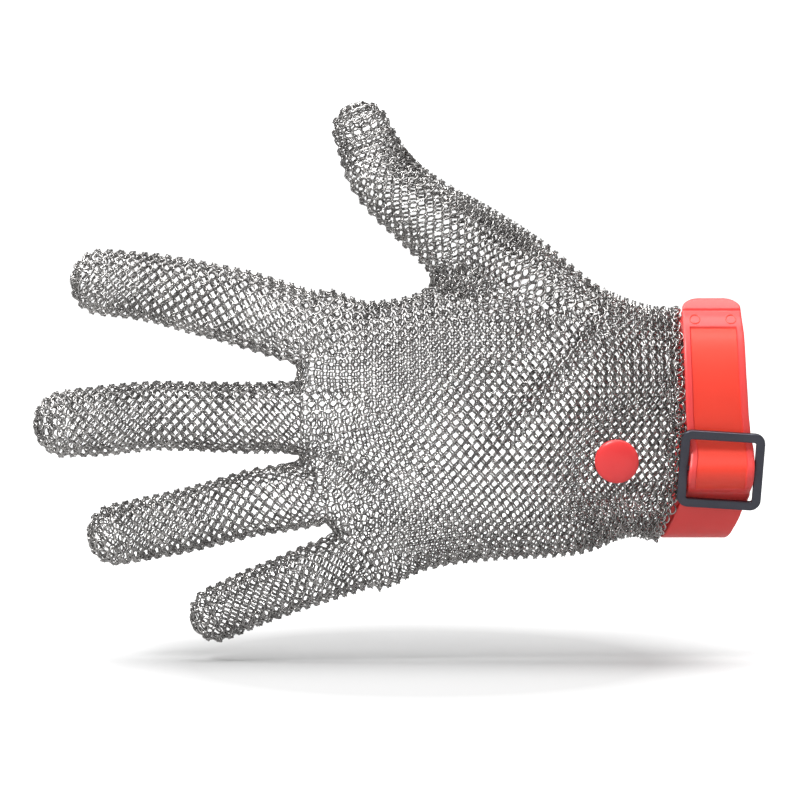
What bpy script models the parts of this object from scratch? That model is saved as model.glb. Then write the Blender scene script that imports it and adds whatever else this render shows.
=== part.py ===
"""Steel-mail glove for the left hand, with a moulded wrist strap, slide buckle and stud.

Units are metres; the tables below are in millimetres. +Z is the thumb side, -X is
where the fingertips point and -Y is where the back of the hand faces. The origin
is the middle of the wrist opening.
"""
import math

import bmesh
import bpy
from mathutils import Matrix, Vector

MM = 0.001

# Driving dimensions, in millimetres
GAP = 0.3             # clearance between pieces that touch
MAIL_WALL = 2.0       # thickness of the linked-ring fabric
TUBE_SIDES = 20       # facets round a finger
HAND_SIDES = 36       # facets round the hand
BAR_SIDES = 12        # facets round the crossbar
POST_SIDES = 20       # facets round the stud's hole
STUD_SIDES = 28
HOLE_LENGTH = 12.0    # of the cutter for the stud's hole
TIP_STEPS = 4         # rows that round off a fingertip
TIP_SWING = 84.0      # degrees that those rows cover
ROOT_REACH = 6.0      # how far a finger's space runs on into the hand
MOUTH_REACH = 12.0    # how far the cutter of the hand's space passes the wrist edge
BELT_WIDTH = 21.8
BELT_THICK = 2.0
LOOP_HALF_HEIGHT = 36.5   # belt centre line, from the origin up to the top
LOOP_HALF_DEPTH = 21.7
LOOP_POWER = 2.3      # 2 is an ellipse, more is squarer
BUCKLE_ANGLE = 107.5  # where the buckle sits on the loop, degrees from the top
FRAME_WIDTH = 27.6
FRAME_HEIGHT = 26.6
FRAME_BAR = 3.0
FRAME_THICK = 1.8
FRAME_CORNER = 3.6
WINDOW_CORNER = 1.2
CORNER_STEPS = 5
FRAME_LIFT = 3.4      # frame centre above the belt centre line
FRAME_TILT = 7.7      # degrees that its upper bar stands out
FRAME_TURN = -3.7     # degrees that it is turned, seen from outside
CROSSBAR_RADIUS = 0.9
EYE_RADIUS = 1.9      # moulded eye of the belt round the hidden crossbar
EYE_LENGTH = 20.8
EYE_SIDES = 16
STUD_X, STUD_Z = -18.6, -10.5
STUD_CAP_RADIUS = 7.25
STUD_CAP_HEIGHT = 2.3
STUD_RIM = 0.7        # straight side of the cap
STUD_DOME_STEPS = 5
STUD_POST_RADIUS = 2.2
STUD_DISC_RADIUS = 5.0
STUD_DISC_THICK = 1.2
STUD_UNDER = MAIL_WALL + 3 * GAP   # from the mail's outer face to its back disc

# The hand from the wrist opening to the knuckles. x places a section, tilt and bow
# bend it along the fingers' roots, lean carries the back of the hand past the palm,
# power is how square the outline is.
HAND_COLUMNS = ("x", "tilt", "bow", "lean", "z", "half_width", "half_depth", "power")
HAND = [
    (-1.4, 4.6, 0.0, 0.26, 0.0, 38.0, 23.2, 2.3),
    (-12.0, 4.0, 0.0, 0.19, 0.8, 38.2, 23.0, 2.3),
    (-26.0, 3.0, 0.0, 0.14, -0.7, 41.8, 22.0, 2.35),
    (-42.0, 1.5, 1.0, 0.07, 0.1, 44.3, 21.0, 2.4),
    (-60.0, 0.0, 2.0, 0.03, 0.7, 45.8, 19.6, 2.45),
    (-78.0, -2.5, 4.0, 0.0, -0.8, 45.8, 18.0, 2.5),
    (-94.0, -5.0, 7.0, 0.0, -3.5, 45.2, 16.3, 2.6),
    (-108.0, -7.0, 10.0, 0.0, -4.9, 45.9, 14.6, 2.8),
    (-119.0, -8.3, 12.8, 0.0, -5.0, 47.9, 13.4, 3.2),
]
KNUCKLE_ROUND = ((2.2, 0.8, 0.9), (3.2, 2.2, 3.0))  # advance, narrower, thinner

# Each finger's centre line from its root to the middle of its round tip
FINGER_COLUMNS = ("x", "y", "z", "half_width")
FINGERS = {
    "index_stall": [
        (-116.8, -0.8, 30.4, 12.8),
        (-127.7, -0.6, 34.0, 13.0),
        (-142.6, 0.0, 38.5, 13.0),
        (-157.4, 1.0, 42.1, 12.4),
        (-172.3, 2.4, 45.2, 11.6),
        (-187.7, 4.4, 46.7, 11.2),
    ],
    "middle_stall": [
        (-116.8, -0.9, 2.3, 12.2),
        (-127.7, -0.8, 2.5, 12.0),
        (-142.6, -0.4, 2.2, 12.0),
        (-157.4, 0.5, 2.6, 11.7),
        (-172.3, 1.8, 2.7, 11.7),
        (-187.1, 3.6, 1.0, 11.9),
        (-199.9, 5.4, -0.2, 11.4),
    ],
    "ring_stall": [
        (-112.0, -0.6, -22.0, 11.4),
        (-127.7, -0.4, -24.4, 11.5),
        (-137.6, 0.2, -25.9, 11.5),
        (-147.5, 1.0, -28.5, 11.1),
        (-162.4, 2.6, -32.5, 10.9),
        (-183.2, 5.4, -36.9, 10.5),
    ],
    "little_stall": [
        (-98.0, 0.6, -41.9, 11.0),
        (-107.9, 0.7, -45.9, 10.8),
        (-117.8, 1.0, -49.5, 10.5),
        (-127.7, 1.8, -53.4, 10.0),
        (-137.6, 3.0, -57.4, 9.8),
        (-150.2, 4.8, -63.2, 9.5),
    ],
    "thumb_stall": [
        (-28.0, 1.6, 29.6, 11.0),
        (-38.6, 3.0, 38.6, 13.5),
        (-48.5, 4.6, 46.6, 14.5),
        (-60.6, 6.6, 55.0, 14.3),
        (-72.6, 8.6, 62.3, 14.1),
        (-81.4, 10.2, 68.9, 12.9),
        (-91.3, 12.2, 77.1, 12.1),
        (-97.3, 13.5, 84.6, 11.6),
        (-102.3, 15.4, 96.2, 10.1),
    ],
}
TIP_DEPTH_RATIO = 0.9       # a fingertip's depth against its width
ROOT_DEPTH_RATIO = 0.95
TIP_LENGTH_RATIO = 1.02     # how far a tip reaches past its last centre, in half widths
FINGER_POWER = 2.15

# The belt's path from its moulded eye, over the top, round the palm side, under the
# wrist and up again through the buckle to its free end; shift moves it along X
PATH_COLUMNS = ("angle", "lift", "half_width", "shift")
BELT_PATH = [
    (106.5, 2.95, 9.9, 0.0),
    (101.0, 0.9, 9.9, -0.5),
    (95.0, 0.0, 9.85, -1.05),
    (66.0, 0.0, 9.7, -1.6),
    (39.0, 0.0, 9.2, -1.7),
    (15.0, 0.0, 9.0, -1.9),
    (-20.0, 0.0, 9.0, -1.9),
    (-100.0, 0.0, 9.9, -1.0),
    (-170.0, 0.0, 10.9, 0.0),
    (-225.0, 0.0, 10.9, 0.0),
    (-231.0, 0.0, 10.8, 0.6),
    (-236.0, -0.1, 10.6, 1.1),
    (-239.0, 0.4, 10.4, 1.0),
    (-244.5, 4.85, 10.45, 0.7),
    (-248.5, 6.45, 10.7, 0.3),
    (-252.0, 6.85, 10.75, 0.1),
    (-255.0, 6.35, 10.7, 0.1),
    (-259.5, 4.0, 10.45, 0.1),
    (-263.0, 2.4, 10.4, -0.1),
    (-268.0, 2.3, 10.4, -1.0),
    (-275.0, 2.3, 10.3, -1.45),
    (-294.0, 2.3, 10.1, -1.6),
    (-306.0, 2.3, 10.1, -1.65),
    (-321.0, 2.4, 10.0, -1.6),
    (-333.0, 3.2, 9.8, -1.65),
    (-341.0, 4.9, 9.6, -1.6),
    (-346.0, 6.0, 8.2, -1.65),
]
BELT_LONG_STEP = 11.0        # degrees between stations on the plain stretches
BELT_CHAMFER = 0.5
LIP_REACH = 0.8             # how far the belt's lip runs under the mail's edge
LIP_UNDER = 2.5             # and under the belt itself
LIP_THICK = 1.2
LIP_DROP = 1.4              # lip centre below the belt centre line
LIP_SIDES = 36
HEM_GAP = 1.9               # from the mail's edge to the belt

# X of the belt's edge next to the mail, round the wrist from the thumb side by way of
# the back of the hand
EDGE_COLUMNS = ("angle", "left")
LOOP_EDGE = [
    (0.0, 3.0),
    (20.0, 3.3),
    (40.0, 3.9),
    (60.0, 4.3),
    (80.0, 4.7),
    (95.0, 4.9),
    (107.0, 4.6),
    (120.0, 3.0),
    (136.0, 0.8),
    (155.0, -1.9),
    (180.0, -3.8),
    (200.0, -2.2),
    (220.0, 0.4),
    (240.0, 2.5),
    (270.0, 3.9),
    (315.0, 4.2),
    (340.0, 3.6),
    (360.0, 3.0),
]

COLOURS = {
    "mail": ((0.42, 0.43, 0.44), 1.0, 0.32),
    "strap": ((0.90, 0.11, 0.07), 0.0, 0.38),
    "steel": ((0.16, 0.17, 0.19), 1.0, 0.34),
    "stud": ((0.80, 0.06, 0.07), 0.0, 0.30),
}


def clear_scene():
    """Remove every object that the file starts with."""
    for obj in list(bpy.data.objects):
        bpy.data.objects.remove(obj, do_unlink=True)


def finish(name):
    """A Principled material from the colour table."""
    colour, metallic, roughness = COLOURS[name]
    mat = bpy.data.materials.new(name)
    mat.use_nodes = True
    shader = mat.node_tree.nodes["Principled BSDF"]
    shader.inputs["Base Color"].default_value = (*colour, 1.0)
    shader.inputs["Metallic"].default_value = metallic
    shader.inputs["Roughness"].default_value = roughness
    return mat


def make_object(name, bm, mat=None):
    """Turn a bmesh in millimetres into an object in metres."""
    bmesh.ops.recalc_face_normals(bm, faces=bm.faces)
    if bm.calc_volume(signed=True) < 0:
        bmesh.ops.reverse_faces(bm, faces=bm.faces)
    bmesh.ops.scale(bm, vec=(MM, MM, MM), verts=bm.verts)
    mesh = bpy.data.meshes.new(name)
    bm.to_mesh(mesh)
    bm.free()
    obj = bpy.data.objects.new(name, mesh)
    bpy.context.scene.collection.objects.link(obj)
    if mat:
        mesh.materials.append(mat)
    mesh.shade_smooth()
    mesh.set_sharp_from_angle(angle=math.radians(40))
    return obj


def as_cutter(obj):
    """Mark an object as a construction guide."""
    obj.hide_render = True
    obj.display_type = "WIRE"
    return obj


def boolean(obj, other, operation="DIFFERENCE"):
    """Add an exact Boolean modifier."""
    mod = obj.modifiers.new(other.name, "BOOLEAN")
    mod.operation = operation
    mod.solver = "EXACT"
    mod.object = other


def cut_all(obj, cutters):
    """Cut several guides from an object at once with one exact Boolean."""
    group = bpy.data.collections.new("cuts_" + obj.name)
    for cutter in cutters:
        group.objects.link(cutter)
    mod = obj.modifiers.new(group.name, "BOOLEAN")
    mod.operation = "DIFFERENCE"
    mod.solver = "EXACT"
    mod.operand_type = "COLLECTION"
    mod.collection = group


def rows(columns, table):
    """The table's rows as dictionaries."""
    return [dict(zip(columns, row)) for row in table]


def blend(table, key, at):
    """Monotone smooth value of a column at a fractional row index."""
    last = len(table) - 1
    i = max(0, min(last - 1, int(math.floor(at))))
    f = at - i
    p0 = table[max(0, i - 1)][key]
    p1 = table[i][key]
    p2 = table[i + 1][key]
    p3 = table[min(last, i + 2)][key]
    m1 = (p2 - p0) / 2 if i > 0 else p2 - p1
    m2 = (p3 - p1) / 2 if i < last - 1 else p2 - p1
    return (p1 * (2 * f**3 - 3 * f**2 + 1) + m1 * (f**3 - 2 * f**2 + f)
            + p2 * (3 * f**2 - 2 * f**3) + m2 * (f**3 - f**2))


def squircle(angle, power):
    """Unit superellipse: (cosine-like, sine-like) at an angle."""
    c, s = math.cos(angle), math.sin(angle)
    e = 2.0 / power
    return (math.copysign(abs(c) ** e, c), math.copysign(abs(s) ** e, s))


def unit_tube(sides, stations, open_end=False):
    """A tube of radius 1 whose rings lie at z = 0, 1, 2 and so on, its ends filled."""
    bm = bmesh.new()
    ring = bmesh.ops.create_circle(bm, segments=sides, radius=1.0)["verts"]
    edges = list({e for v in ring for e in v.link_edges})
    first = edges
    for _ in range(stations - 1):
        grown = bmesh.ops.extrude_edge_only(bm, edges=edges)["geom"]
        verts = [g for g in grown if isinstance(g, bmesh.types.BMVert)]
        edges = [g for g in grown if isinstance(g, bmesh.types.BMEdge)]
        edges = [e for e in edges if all(v in verts for v in e.verts)]
        bmesh.ops.translate(bm, verts=verts, vec=(0, 0, 1))
    bmesh.ops.edgeloop_fill(bm, edges=first)
    if not open_end:
        bmesh.ops.edgeloop_fill(bm, edges=edges)
    return bm


def shape_tube(sides, stations, place, seam_end=False):
    """Loft: unit_tube with each point moved to place(station, angle).

    With seam_end the last ring is flat, and its two sides are welded.
    """
    bm = unit_tube(sides, stations, open_end=seam_end)
    for v in bm.verts:
        station = int(round(v.co.z))
        v.co = place(station, math.atan2(v.co.y, v.co.x))
    if seam_end:
        bmesh.ops.remove_doubles(bm, verts=bm.verts, dist=0.01)
    return bm


# ---------------------------------------------------------------- hand

def hand_sections(grow):
    """Hand rows, widened by grow, with the rounded knuckle end added."""
    table = rows(HAND_COLUMNS, HAND)
    sections = rows(HAND_COLUMNS, HAND)
    for advance, narrower, thinner in KNUCKLE_ROUND:
        end = dict(table[-1])
        end["x"] -= advance
        end["half_width"] -= narrower
        end["half_depth"] -= thinner
        sections.append(end)
    seam = dict(sections[-1])
    for s in sections:
        s["half_width"] += grow
        s["half_depth"] += grow
    for s in sections[-len(KNUCKLE_ROUND):]:
        s["x"] -= grow
    seam["x"] -= grow
    seam["half_width"] += grow
    seam["half_depth"] = 0.0
    sections.append(seam)
    return sections


def belt_left(angle_deg):
    """X of the belt's edge next to the mail, at an angle from the top."""
    table = rows(EDGE_COLUMNS, LOOP_EDGE)
    angle = angle_deg % 360.0
    i = max(k for k, row in enumerate(table[:-1]) if row["angle"] <= angle)
    span = table[i + 1]["angle"] - table[i]["angle"]
    return blend(table, "left", i + (angle - table[i]["angle"]) / span)


def hem_x(angle):
    """X of the mail's edge; angle 0 is the thumb side, -90 degrees the back."""
    return belt_left(-math.degrees(angle)) - HEM_GAP


def hand_point(section, angle):
    """A point on a hand section; angle 0 is the thumb side, -90 degrees the back."""
    c, s = squircle(angle, section["power"])
    y = section["half_depth"] * s
    if "past_hem" in section:
        x = hem_x(angle) + section["past_hem"]
    else:
        x = section["x"] + section["tilt"] * c + section["bow"] * c * c - section["lean"] * y
    return Vector((x, y, section["z"] + section["half_width"] * c))


def hand_solid(name, grow, open_wrist=0.0):
    """The hand's closed outer form, or with open_wrist its inner space."""
    sections = hand_sections(grow)
    sections[0]["past_hem"] = 0.0
    if open_wrist:
        sections.insert(0, dict(sections[0], past_hem=open_wrist))
    bm = shape_tube(HAND_SIDES, len(sections), lambda i, a: hand_point(sections[i], a),
                    seam_end=True)
    return make_object(name, bm)


def back_surface(x, z, inset):
    """Point on the back of the hand, inset below the mail's outer face, near the wrist."""
    table = rows(HAND_COLUMNS, HAND)
    at = 0.0
    for _ in range(12):
        row = {k: blend(table, k, at) for k in HAND_COLUMNS}
        c = (z - row["z"]) / (row["half_width"] - inset)
        y = -(row["half_depth"] - inset) * (1 - abs(c) ** row["power"]) ** (1 / row["power"])
        here = row["x"] + row["tilt"] * c + row["bow"] * c * c - row["lean"] * y
        at += (here - x) / 12.0
    return Vector((x, y, z))


# ------------------------------------------------------------- fingers

def finger_frames(table):
    """Centre, half width, across and depth axes along a finger, root to tip."""
    last = len(table) - 1
    frames = []
    for at in range(last + 1):
        centre = Vector([blend(table, k, at) for k in "xyz"])
        ahead = Vector([blend(table, k, min(last, at + 0.1)) for k in "xyz"])
        behind = Vector([blend(table, k, max(0.0, at - 0.1)) for k in "xyz"])
        along = (ahead - behind).normalized()
        across = Vector((along.z, 0.0, -along.x)).normalized()
        depth = along.cross(across).normalized()
        ratio = ROOT_DEPTH_RATIO + (TIP_DEPTH_RATIO - ROOT_DEPTH_RATIO) * at / last
        frames.append((centre, along, across, depth, blend(table, "half_width", at), ratio))
    return frames


def finger_solid(name, key, inset, root_reach):
    """A finger's closed form, inset below the outer face; root_reach lengthens its root."""
    frames = finger_frames(rows(FINGER_COLUMNS, FINGERS[key]))
    centre, along, across, depth, half, ratio = frames[0]
    stations = [(centre - along * root_reach, across, depth, half, ratio)]
    stations += [(c, a, d, h, r) for c, _, a, d, h, r in frames[1:]]
    centre, along, across, depth, half, ratio = frames[-1]
    for i in range(1, TIP_STEPS + 1):
        swing = math.radians(TIP_SWING * i / TIP_STEPS)
        reach = (half * TIP_LENGTH_RATIO - inset) * math.sin(swing)
        shrink = (half - inset) * math.cos(swing) + inset
        stations.append((centre + along * reach, across, depth, shrink, ratio))

    def place(i, angle):
        mid, side, deep, half_width, flat = stations[i]
        c, s = squircle(angle, FINGER_POWER)
        return mid + side * (half_width - inset) * c + deep * (half_width * flat - inset) * s

    return make_object(name, shape_tube(TUBE_SIDES, len(stations), place))


def build_mail():
    """The hand sleeve and five hollow stalls, each trimmed clear of the sleeve."""
    steel = finish("mail")
    hand = hand_solid("hand_mail", 0.0)
    hand.data.materials.append(steel)
    spaces = [as_cutter(hand_solid("cut_palm_space", -MAIL_WALL, open_wrist=MOUTH_REACH))]
    trim = as_cutter(hand_solid("cut_hand_form", GAP))
    for key in FINGERS:
        reach = ROOT_REACH if key != "thumb_stall" else 0.0
        stall = finger_solid(key, key, 0.0, 0.0)
        stall.data.materials.append(steel)
        space = as_cutter(finger_solid("cut_" + key, key, MAIL_WALL, reach))
        cut_all(stall, [space, trim])
        spaces.append(space)
    hole = cylinder("cut_stud_hole", STUD_POST_RADIUS + GAP, HOLE_LENGTH, POST_SIDES,
                    stud_matrix())
    spaces.append(as_cutter(hole))
    cut_all(hand, spaces)


# --------------------------------------------------------------- strap

def loop_frame(angle_deg):
    """Centre-line point, outward normal of the strap loop at an angle from the top."""
    a = math.radians(angle_deg)
    c, s = squircle(a, LOOP_POWER)
    step = math.radians(0.5)
    c2, s2 = squircle(a + step, LOOP_POWER)
    c1, s1 = squircle(a - step, LOOP_POWER)
    run = Vector((0, -LOOP_HALF_DEPTH * (s2 - s1), LOOP_HALF_HEIGHT * (c2 - c1))).normalized()
    out = Vector((0, run.z, -run.y))
    return Vector((0, -LOOP_HALF_DEPTH * s, LOOP_HALF_HEIGHT * c)), out


def belt_stations():
    """Stations of the belt: the path table with its plain stretches subdivided."""
    path = rows(PATH_COLUMNS, BELT_PATH)
    stations = [path[0]]
    for a, b in zip(path, path[1:]):
        count = max(1, round(abs(b["angle"] - a["angle"]) / BELT_LONG_STEP))
        for i in range(1, count + 1):
            stations.append({k: a[k] + (b[k] - a[k]) * i / count for k in PATH_COLUMNS})
    return stations


def belt_solid(mat):
    """The belt swept along its spiral path."""
    stations = belt_stations()
    deep = BELT_THICK / 2

    def place(i, angle):
        st = stations[i]
        base, out = loop_frame(st["angle"])
        half = st["half_width"]
        wide = abs(math.cos(angle)) > abs(math.sin(angle))
        across = half if wide else half - BELT_CHAMFER
        thick = deep - BELT_CHAMFER if wide else deep
        side = math.copysign(across, math.cos(angle))
        rise = math.copysign(thick, math.sin(angle))
        point = base + out * (st["lift"] + rise)
        point.x = belt_left(st["angle"]) + BELT_WIDTH / 2 + st["shift"] + side
        return point

    bm = unit_tube(8, len(stations))
    turn = math.radians(22.5)
    for v in bm.verts:
        station = int(round(v.co.z))
        v.co = place(station, math.atan2(v.co.y, v.co.x) + turn)
    return make_object("strap", bm, mat)


def lip_solid():
    """The belt's thin lip, a closed hoop that runs under the edge of the mail."""
    bm = bmesh.new()
    ring = bmesh.ops.create_circle(bm, segments=LIP_SIDES, radius=1.0)["verts"]
    edges = list({e for v in ring for e in v.link_edges})
    loops = [edges]
    for _ in range(3):
        grown = bmesh.ops.extrude_edge_only(bm, edges=edges)["geom"]
        verts = [g for g in grown if isinstance(g, bmesh.types.BMVert)]
        edges = [g for g in grown if isinstance(g, bmesh.types.BMEdge)]
        edges = [e for e in edges if all(v in verts for v in e.verts)]
        bmesh.ops.translate(bm, verts=verts, vec=(0, 0, 1))
        loops.append(edges)
    bmesh.ops.bridge_loops(bm, edges=loops[0] + loops[-1])
    corners = ((False, 1), (True, 1), (True, -1), (False, -1))   # under the belt, side
    for v in bm.verts:
        under_belt, side = corners[int(round(v.co.z))]
        turn = math.atan2(v.co.y, v.co.x)
        base, out = loop_frame(math.degrees(turn))
        v.co = base + out * (side * LIP_THICK / 2 - LIP_DROP)
        if under_belt:
            v.co.x = belt_left(math.degrees(turn)) + LIP_UNDER
        else:
            v.co.x = hem_x(-turn) - LIP_REACH
    return make_object("cut_lip", bm)


def cylinder(name, radius, length, sides, matrix, mat=None):
    """A cylinder whose axis is the matrix's local Z."""
    bm = bmesh.new()
    bmesh.ops.create_cone(bm, cap_ends=True, segments=sides, radius1=radius, radius2=radius,
                          depth=length, matrix=matrix)
    return make_object(name, bm, mat)


def buckle_matrix():
    """Buckle frame: local X across the belt, local Y up along it, local Z outward."""
    base, out = loop_frame(BUCKLE_ANGLE)
    ahead, _ = loop_frame(BUCKLE_ANGLE - 3)
    base.x = belt_left(BUCKLE_ANGLE)
    up = (ahead - loop_frame(BUCKLE_ANGLE)[0]).normalized()
    side = up.cross(out).normalized()
    out = side.cross(up).normalized()
    turn = Matrix((side, up, out)).transposed().to_4x4()
    centre = base + out * FRAME_LIFT
    centre.x += BELT_WIDTH / 2
    tilt = Matrix.Rotation(math.radians(FRAME_TILT), 4, "X")
    skew = Matrix.Rotation(math.radians(FRAME_TURN), 4, "Z")
    return Matrix.Translation(centre) @ turn @ skew @ tilt


def stud_matrix():
    """Stud frame: local Z points out of the back of the hand."""
    base = back_surface(STUD_X, STUD_Z, 0.0)
    side = back_surface(STUD_X, STUD_Z + 3, 0.0) - base
    along = back_surface(STUD_X + 3, STUD_Z, 0.0) - base
    out = along.cross(side).normalized()
    if out.y > 0:
        out.negate()
    return Matrix.Translation(base) @ out.to_track_quat("Z", "Y").to_matrix().to_4x4()


def build_strap():
    """Belt, lip and eye as one moulded piece."""
    strap = belt_solid(finish("strap"))
    boolean(strap, as_cutter(lip_solid()), "UNION")
    across = Matrix.Rotation(math.radians(90), 4, "Y")
    eye = cylinder("cut_eye", EYE_RADIUS, EYE_LENGTH, EYE_SIDES, buckle_matrix() @ across)
    boolean(strap, as_cutter(eye), "UNION")
    bore = cylinder("cut_bar", CROSSBAR_RADIUS + GAP, FRAME_WIDTH, BAR_SIDES,
                    buckle_matrix() @ across)
    boolean(strap, as_cutter(bore))
    return strap


def rounded_box(name, width, height, radius, thick, matrix):
    """A flat plate with round corners, centred on the matrix."""
    bm = bmesh.new()
    bmesh.ops.create_grid(bm, x_segments=1, y_segments=1, size=0.5)
    bmesh.ops.scale(bm, vec=(width, height, 1), verts=bm.verts)
    bmesh.ops.bevel(bm, geom=bm.verts[:], offset=radius, segments=CORNER_STEPS, profile=0.5,
                    affect="VERTICES", material=-1)
    top = bmesh.ops.extrude_face_region(bm, geom=bm.faces[:])["geom"]
    verts = [g for g in top if isinstance(g, bmesh.types.BMVert)]
    bmesh.ops.translate(bm, verts=bm.verts, vec=(0, 0, -thick / 2))
    bmesh.ops.translate(bm, verts=verts, vec=(0, 0, thick))
    bmesh.ops.transform(bm, matrix=matrix, verts=bm.verts)
    return make_object(name, bm)


def build_buckle():
    """Flat rounded frame with its hidden crossbar."""
    matrix = buckle_matrix()
    frame = rounded_box("buckle", FRAME_WIDTH, FRAME_HEIGHT, FRAME_CORNER, FRAME_THICK, matrix)
    frame.data.materials.append(finish("steel"))
    window = rounded_box("cut_window", FRAME_WIDTH - 2 * FRAME_BAR, FRAME_HEIGHT - 2 * FRAME_BAR,
                         WINDOW_CORNER, FRAME_THICK * 3, matrix)
    boolean(frame, as_cutter(window))
    across = Matrix.Rotation(math.radians(90), 4, "Y")
    bar = cylinder("cut_crossbar", CROSSBAR_RADIUS, FRAME_WIDTH - FRAME_BAR, BAR_SIDES,
                   matrix @ across)
    boolean(frame, as_cutter(bar), "UNION")
    return frame


def build_stud():
    """Domed cap, post and back disc, turned as one piece."""
    profile = [(0.0, STUD_CAP_HEIGHT + GAP)]
    for i in range(1, STUD_DOME_STEPS + 1):
        swing = math.radians(90.0 * i / STUD_DOME_STEPS)
        rise = GAP + STUD_RIM + (STUD_CAP_HEIGHT - STUD_RIM) * math.cos(swing)
        profile.append((STUD_CAP_RADIUS * math.sin(swing), rise))
    profile += [
        (STUD_CAP_RADIUS, GAP),
        (STUD_POST_RADIUS, GAP),
        (STUD_POST_RADIUS, -STUD_UNDER),
        (STUD_DISC_RADIUS, -STUD_UNDER),
        (STUD_DISC_RADIUS, -STUD_UNDER - STUD_DISC_THICK),
        (0.0, -STUD_UNDER - STUD_DISC_THICK),
    ]
    bm = bmesh.new()
    verts = [bm.verts.new((r, 0.0, z)) for r, z in profile]
    edges = [bm.edges.new(pair) for pair in zip(verts, verts[1:])]
    bmesh.ops.spin(bm, geom=verts + edges, cent=(0, 0, 0), axis=(0, 0, 1),
                   angle=math.tau, steps=STUD_SIDES, use_merge=True)
    bmesh.ops.remove_doubles(bm, verts=bm.verts, dist=0.0005)
    bmesh.ops.transform(bm, matrix=stud_matrix(), verts=bm.verts)
    return make_object("stud", bm, finish("stud"))


def build():
    """The whole glove."""
    clear_scene()
    build_mail()
    build_strap()
    build_buckle()
    build_stud()


build()
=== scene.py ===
"""Looks of the steel-mail glove: linked rings, moulded strap, slide buckle, stud and studio.

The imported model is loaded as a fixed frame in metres. Tables are in millimetres:
+Z is the thumb side, -X points along the fingers and -Y is out of the back of the hand.
"""
import logging
import math
from collections.abc import Callable
from dataclasses import dataclass, field
from enum import Enum

import bmesh
import bpy
import numpy as np
from mathutils import Matrix, Vector

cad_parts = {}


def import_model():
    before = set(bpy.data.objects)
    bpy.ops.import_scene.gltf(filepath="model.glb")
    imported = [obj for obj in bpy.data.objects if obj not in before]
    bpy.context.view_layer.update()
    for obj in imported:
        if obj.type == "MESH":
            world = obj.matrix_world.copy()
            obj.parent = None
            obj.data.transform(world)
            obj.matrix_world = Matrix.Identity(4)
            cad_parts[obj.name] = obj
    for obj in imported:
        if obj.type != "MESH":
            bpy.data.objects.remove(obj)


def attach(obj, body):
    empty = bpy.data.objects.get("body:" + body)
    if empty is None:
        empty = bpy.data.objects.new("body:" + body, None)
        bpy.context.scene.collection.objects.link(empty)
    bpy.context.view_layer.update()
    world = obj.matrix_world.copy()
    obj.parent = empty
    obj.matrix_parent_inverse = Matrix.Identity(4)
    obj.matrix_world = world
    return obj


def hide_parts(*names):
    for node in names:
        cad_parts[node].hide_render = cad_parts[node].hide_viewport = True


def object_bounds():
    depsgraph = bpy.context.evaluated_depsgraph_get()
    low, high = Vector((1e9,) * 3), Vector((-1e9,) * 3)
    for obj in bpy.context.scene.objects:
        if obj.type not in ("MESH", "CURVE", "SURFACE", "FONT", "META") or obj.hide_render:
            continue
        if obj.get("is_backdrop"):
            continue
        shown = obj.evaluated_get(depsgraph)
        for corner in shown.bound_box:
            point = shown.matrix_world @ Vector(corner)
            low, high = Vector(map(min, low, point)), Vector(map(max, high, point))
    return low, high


LOG = logging.getLogger("mail_glove")
MM = 0.001
BODY = "root"
RAISED = "raised"        # attribute: 1 on a moulded border, 0 in a recess

# The same sections and centre lines as the solids, outer faces of the mail
# Columns: x, tilt, bow, lean, z, half width, half depth and power of each section
HAND = np.array([
    (-1.4, 4.6, 0.0, 0.26, 0.0, 38.0, 23.2, 2.3),
    (-12.0, 4.0, 0.0, 0.19, 0.8, 38.2, 23.0, 2.3),
    (-26.0, 3.0, 0.0, 0.14, -0.7, 41.8, 22.0, 2.35),
    (-42.0, 1.5, 1.0, 0.07, 0.1, 44.3, 21.0, 2.4),
    (-60.0, 0.0, 2.0, 0.03, 0.7, 45.8, 19.6, 2.45),
    (-78.0, -2.5, 4.0, 0.0, -0.8, 45.8, 18.0, 2.5),
    (-94.0, -5.0, 7.0, 0.0, -3.5, 45.2, 16.3, 2.6),
    (-108.0, -7.0, 10.0, 0.0, -4.9, 45.9, 14.6, 2.8),
    (-119.0, -8.3, 12.8, 0.0, -5.0, 47.9, 13.4, 3.2),
])
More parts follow.
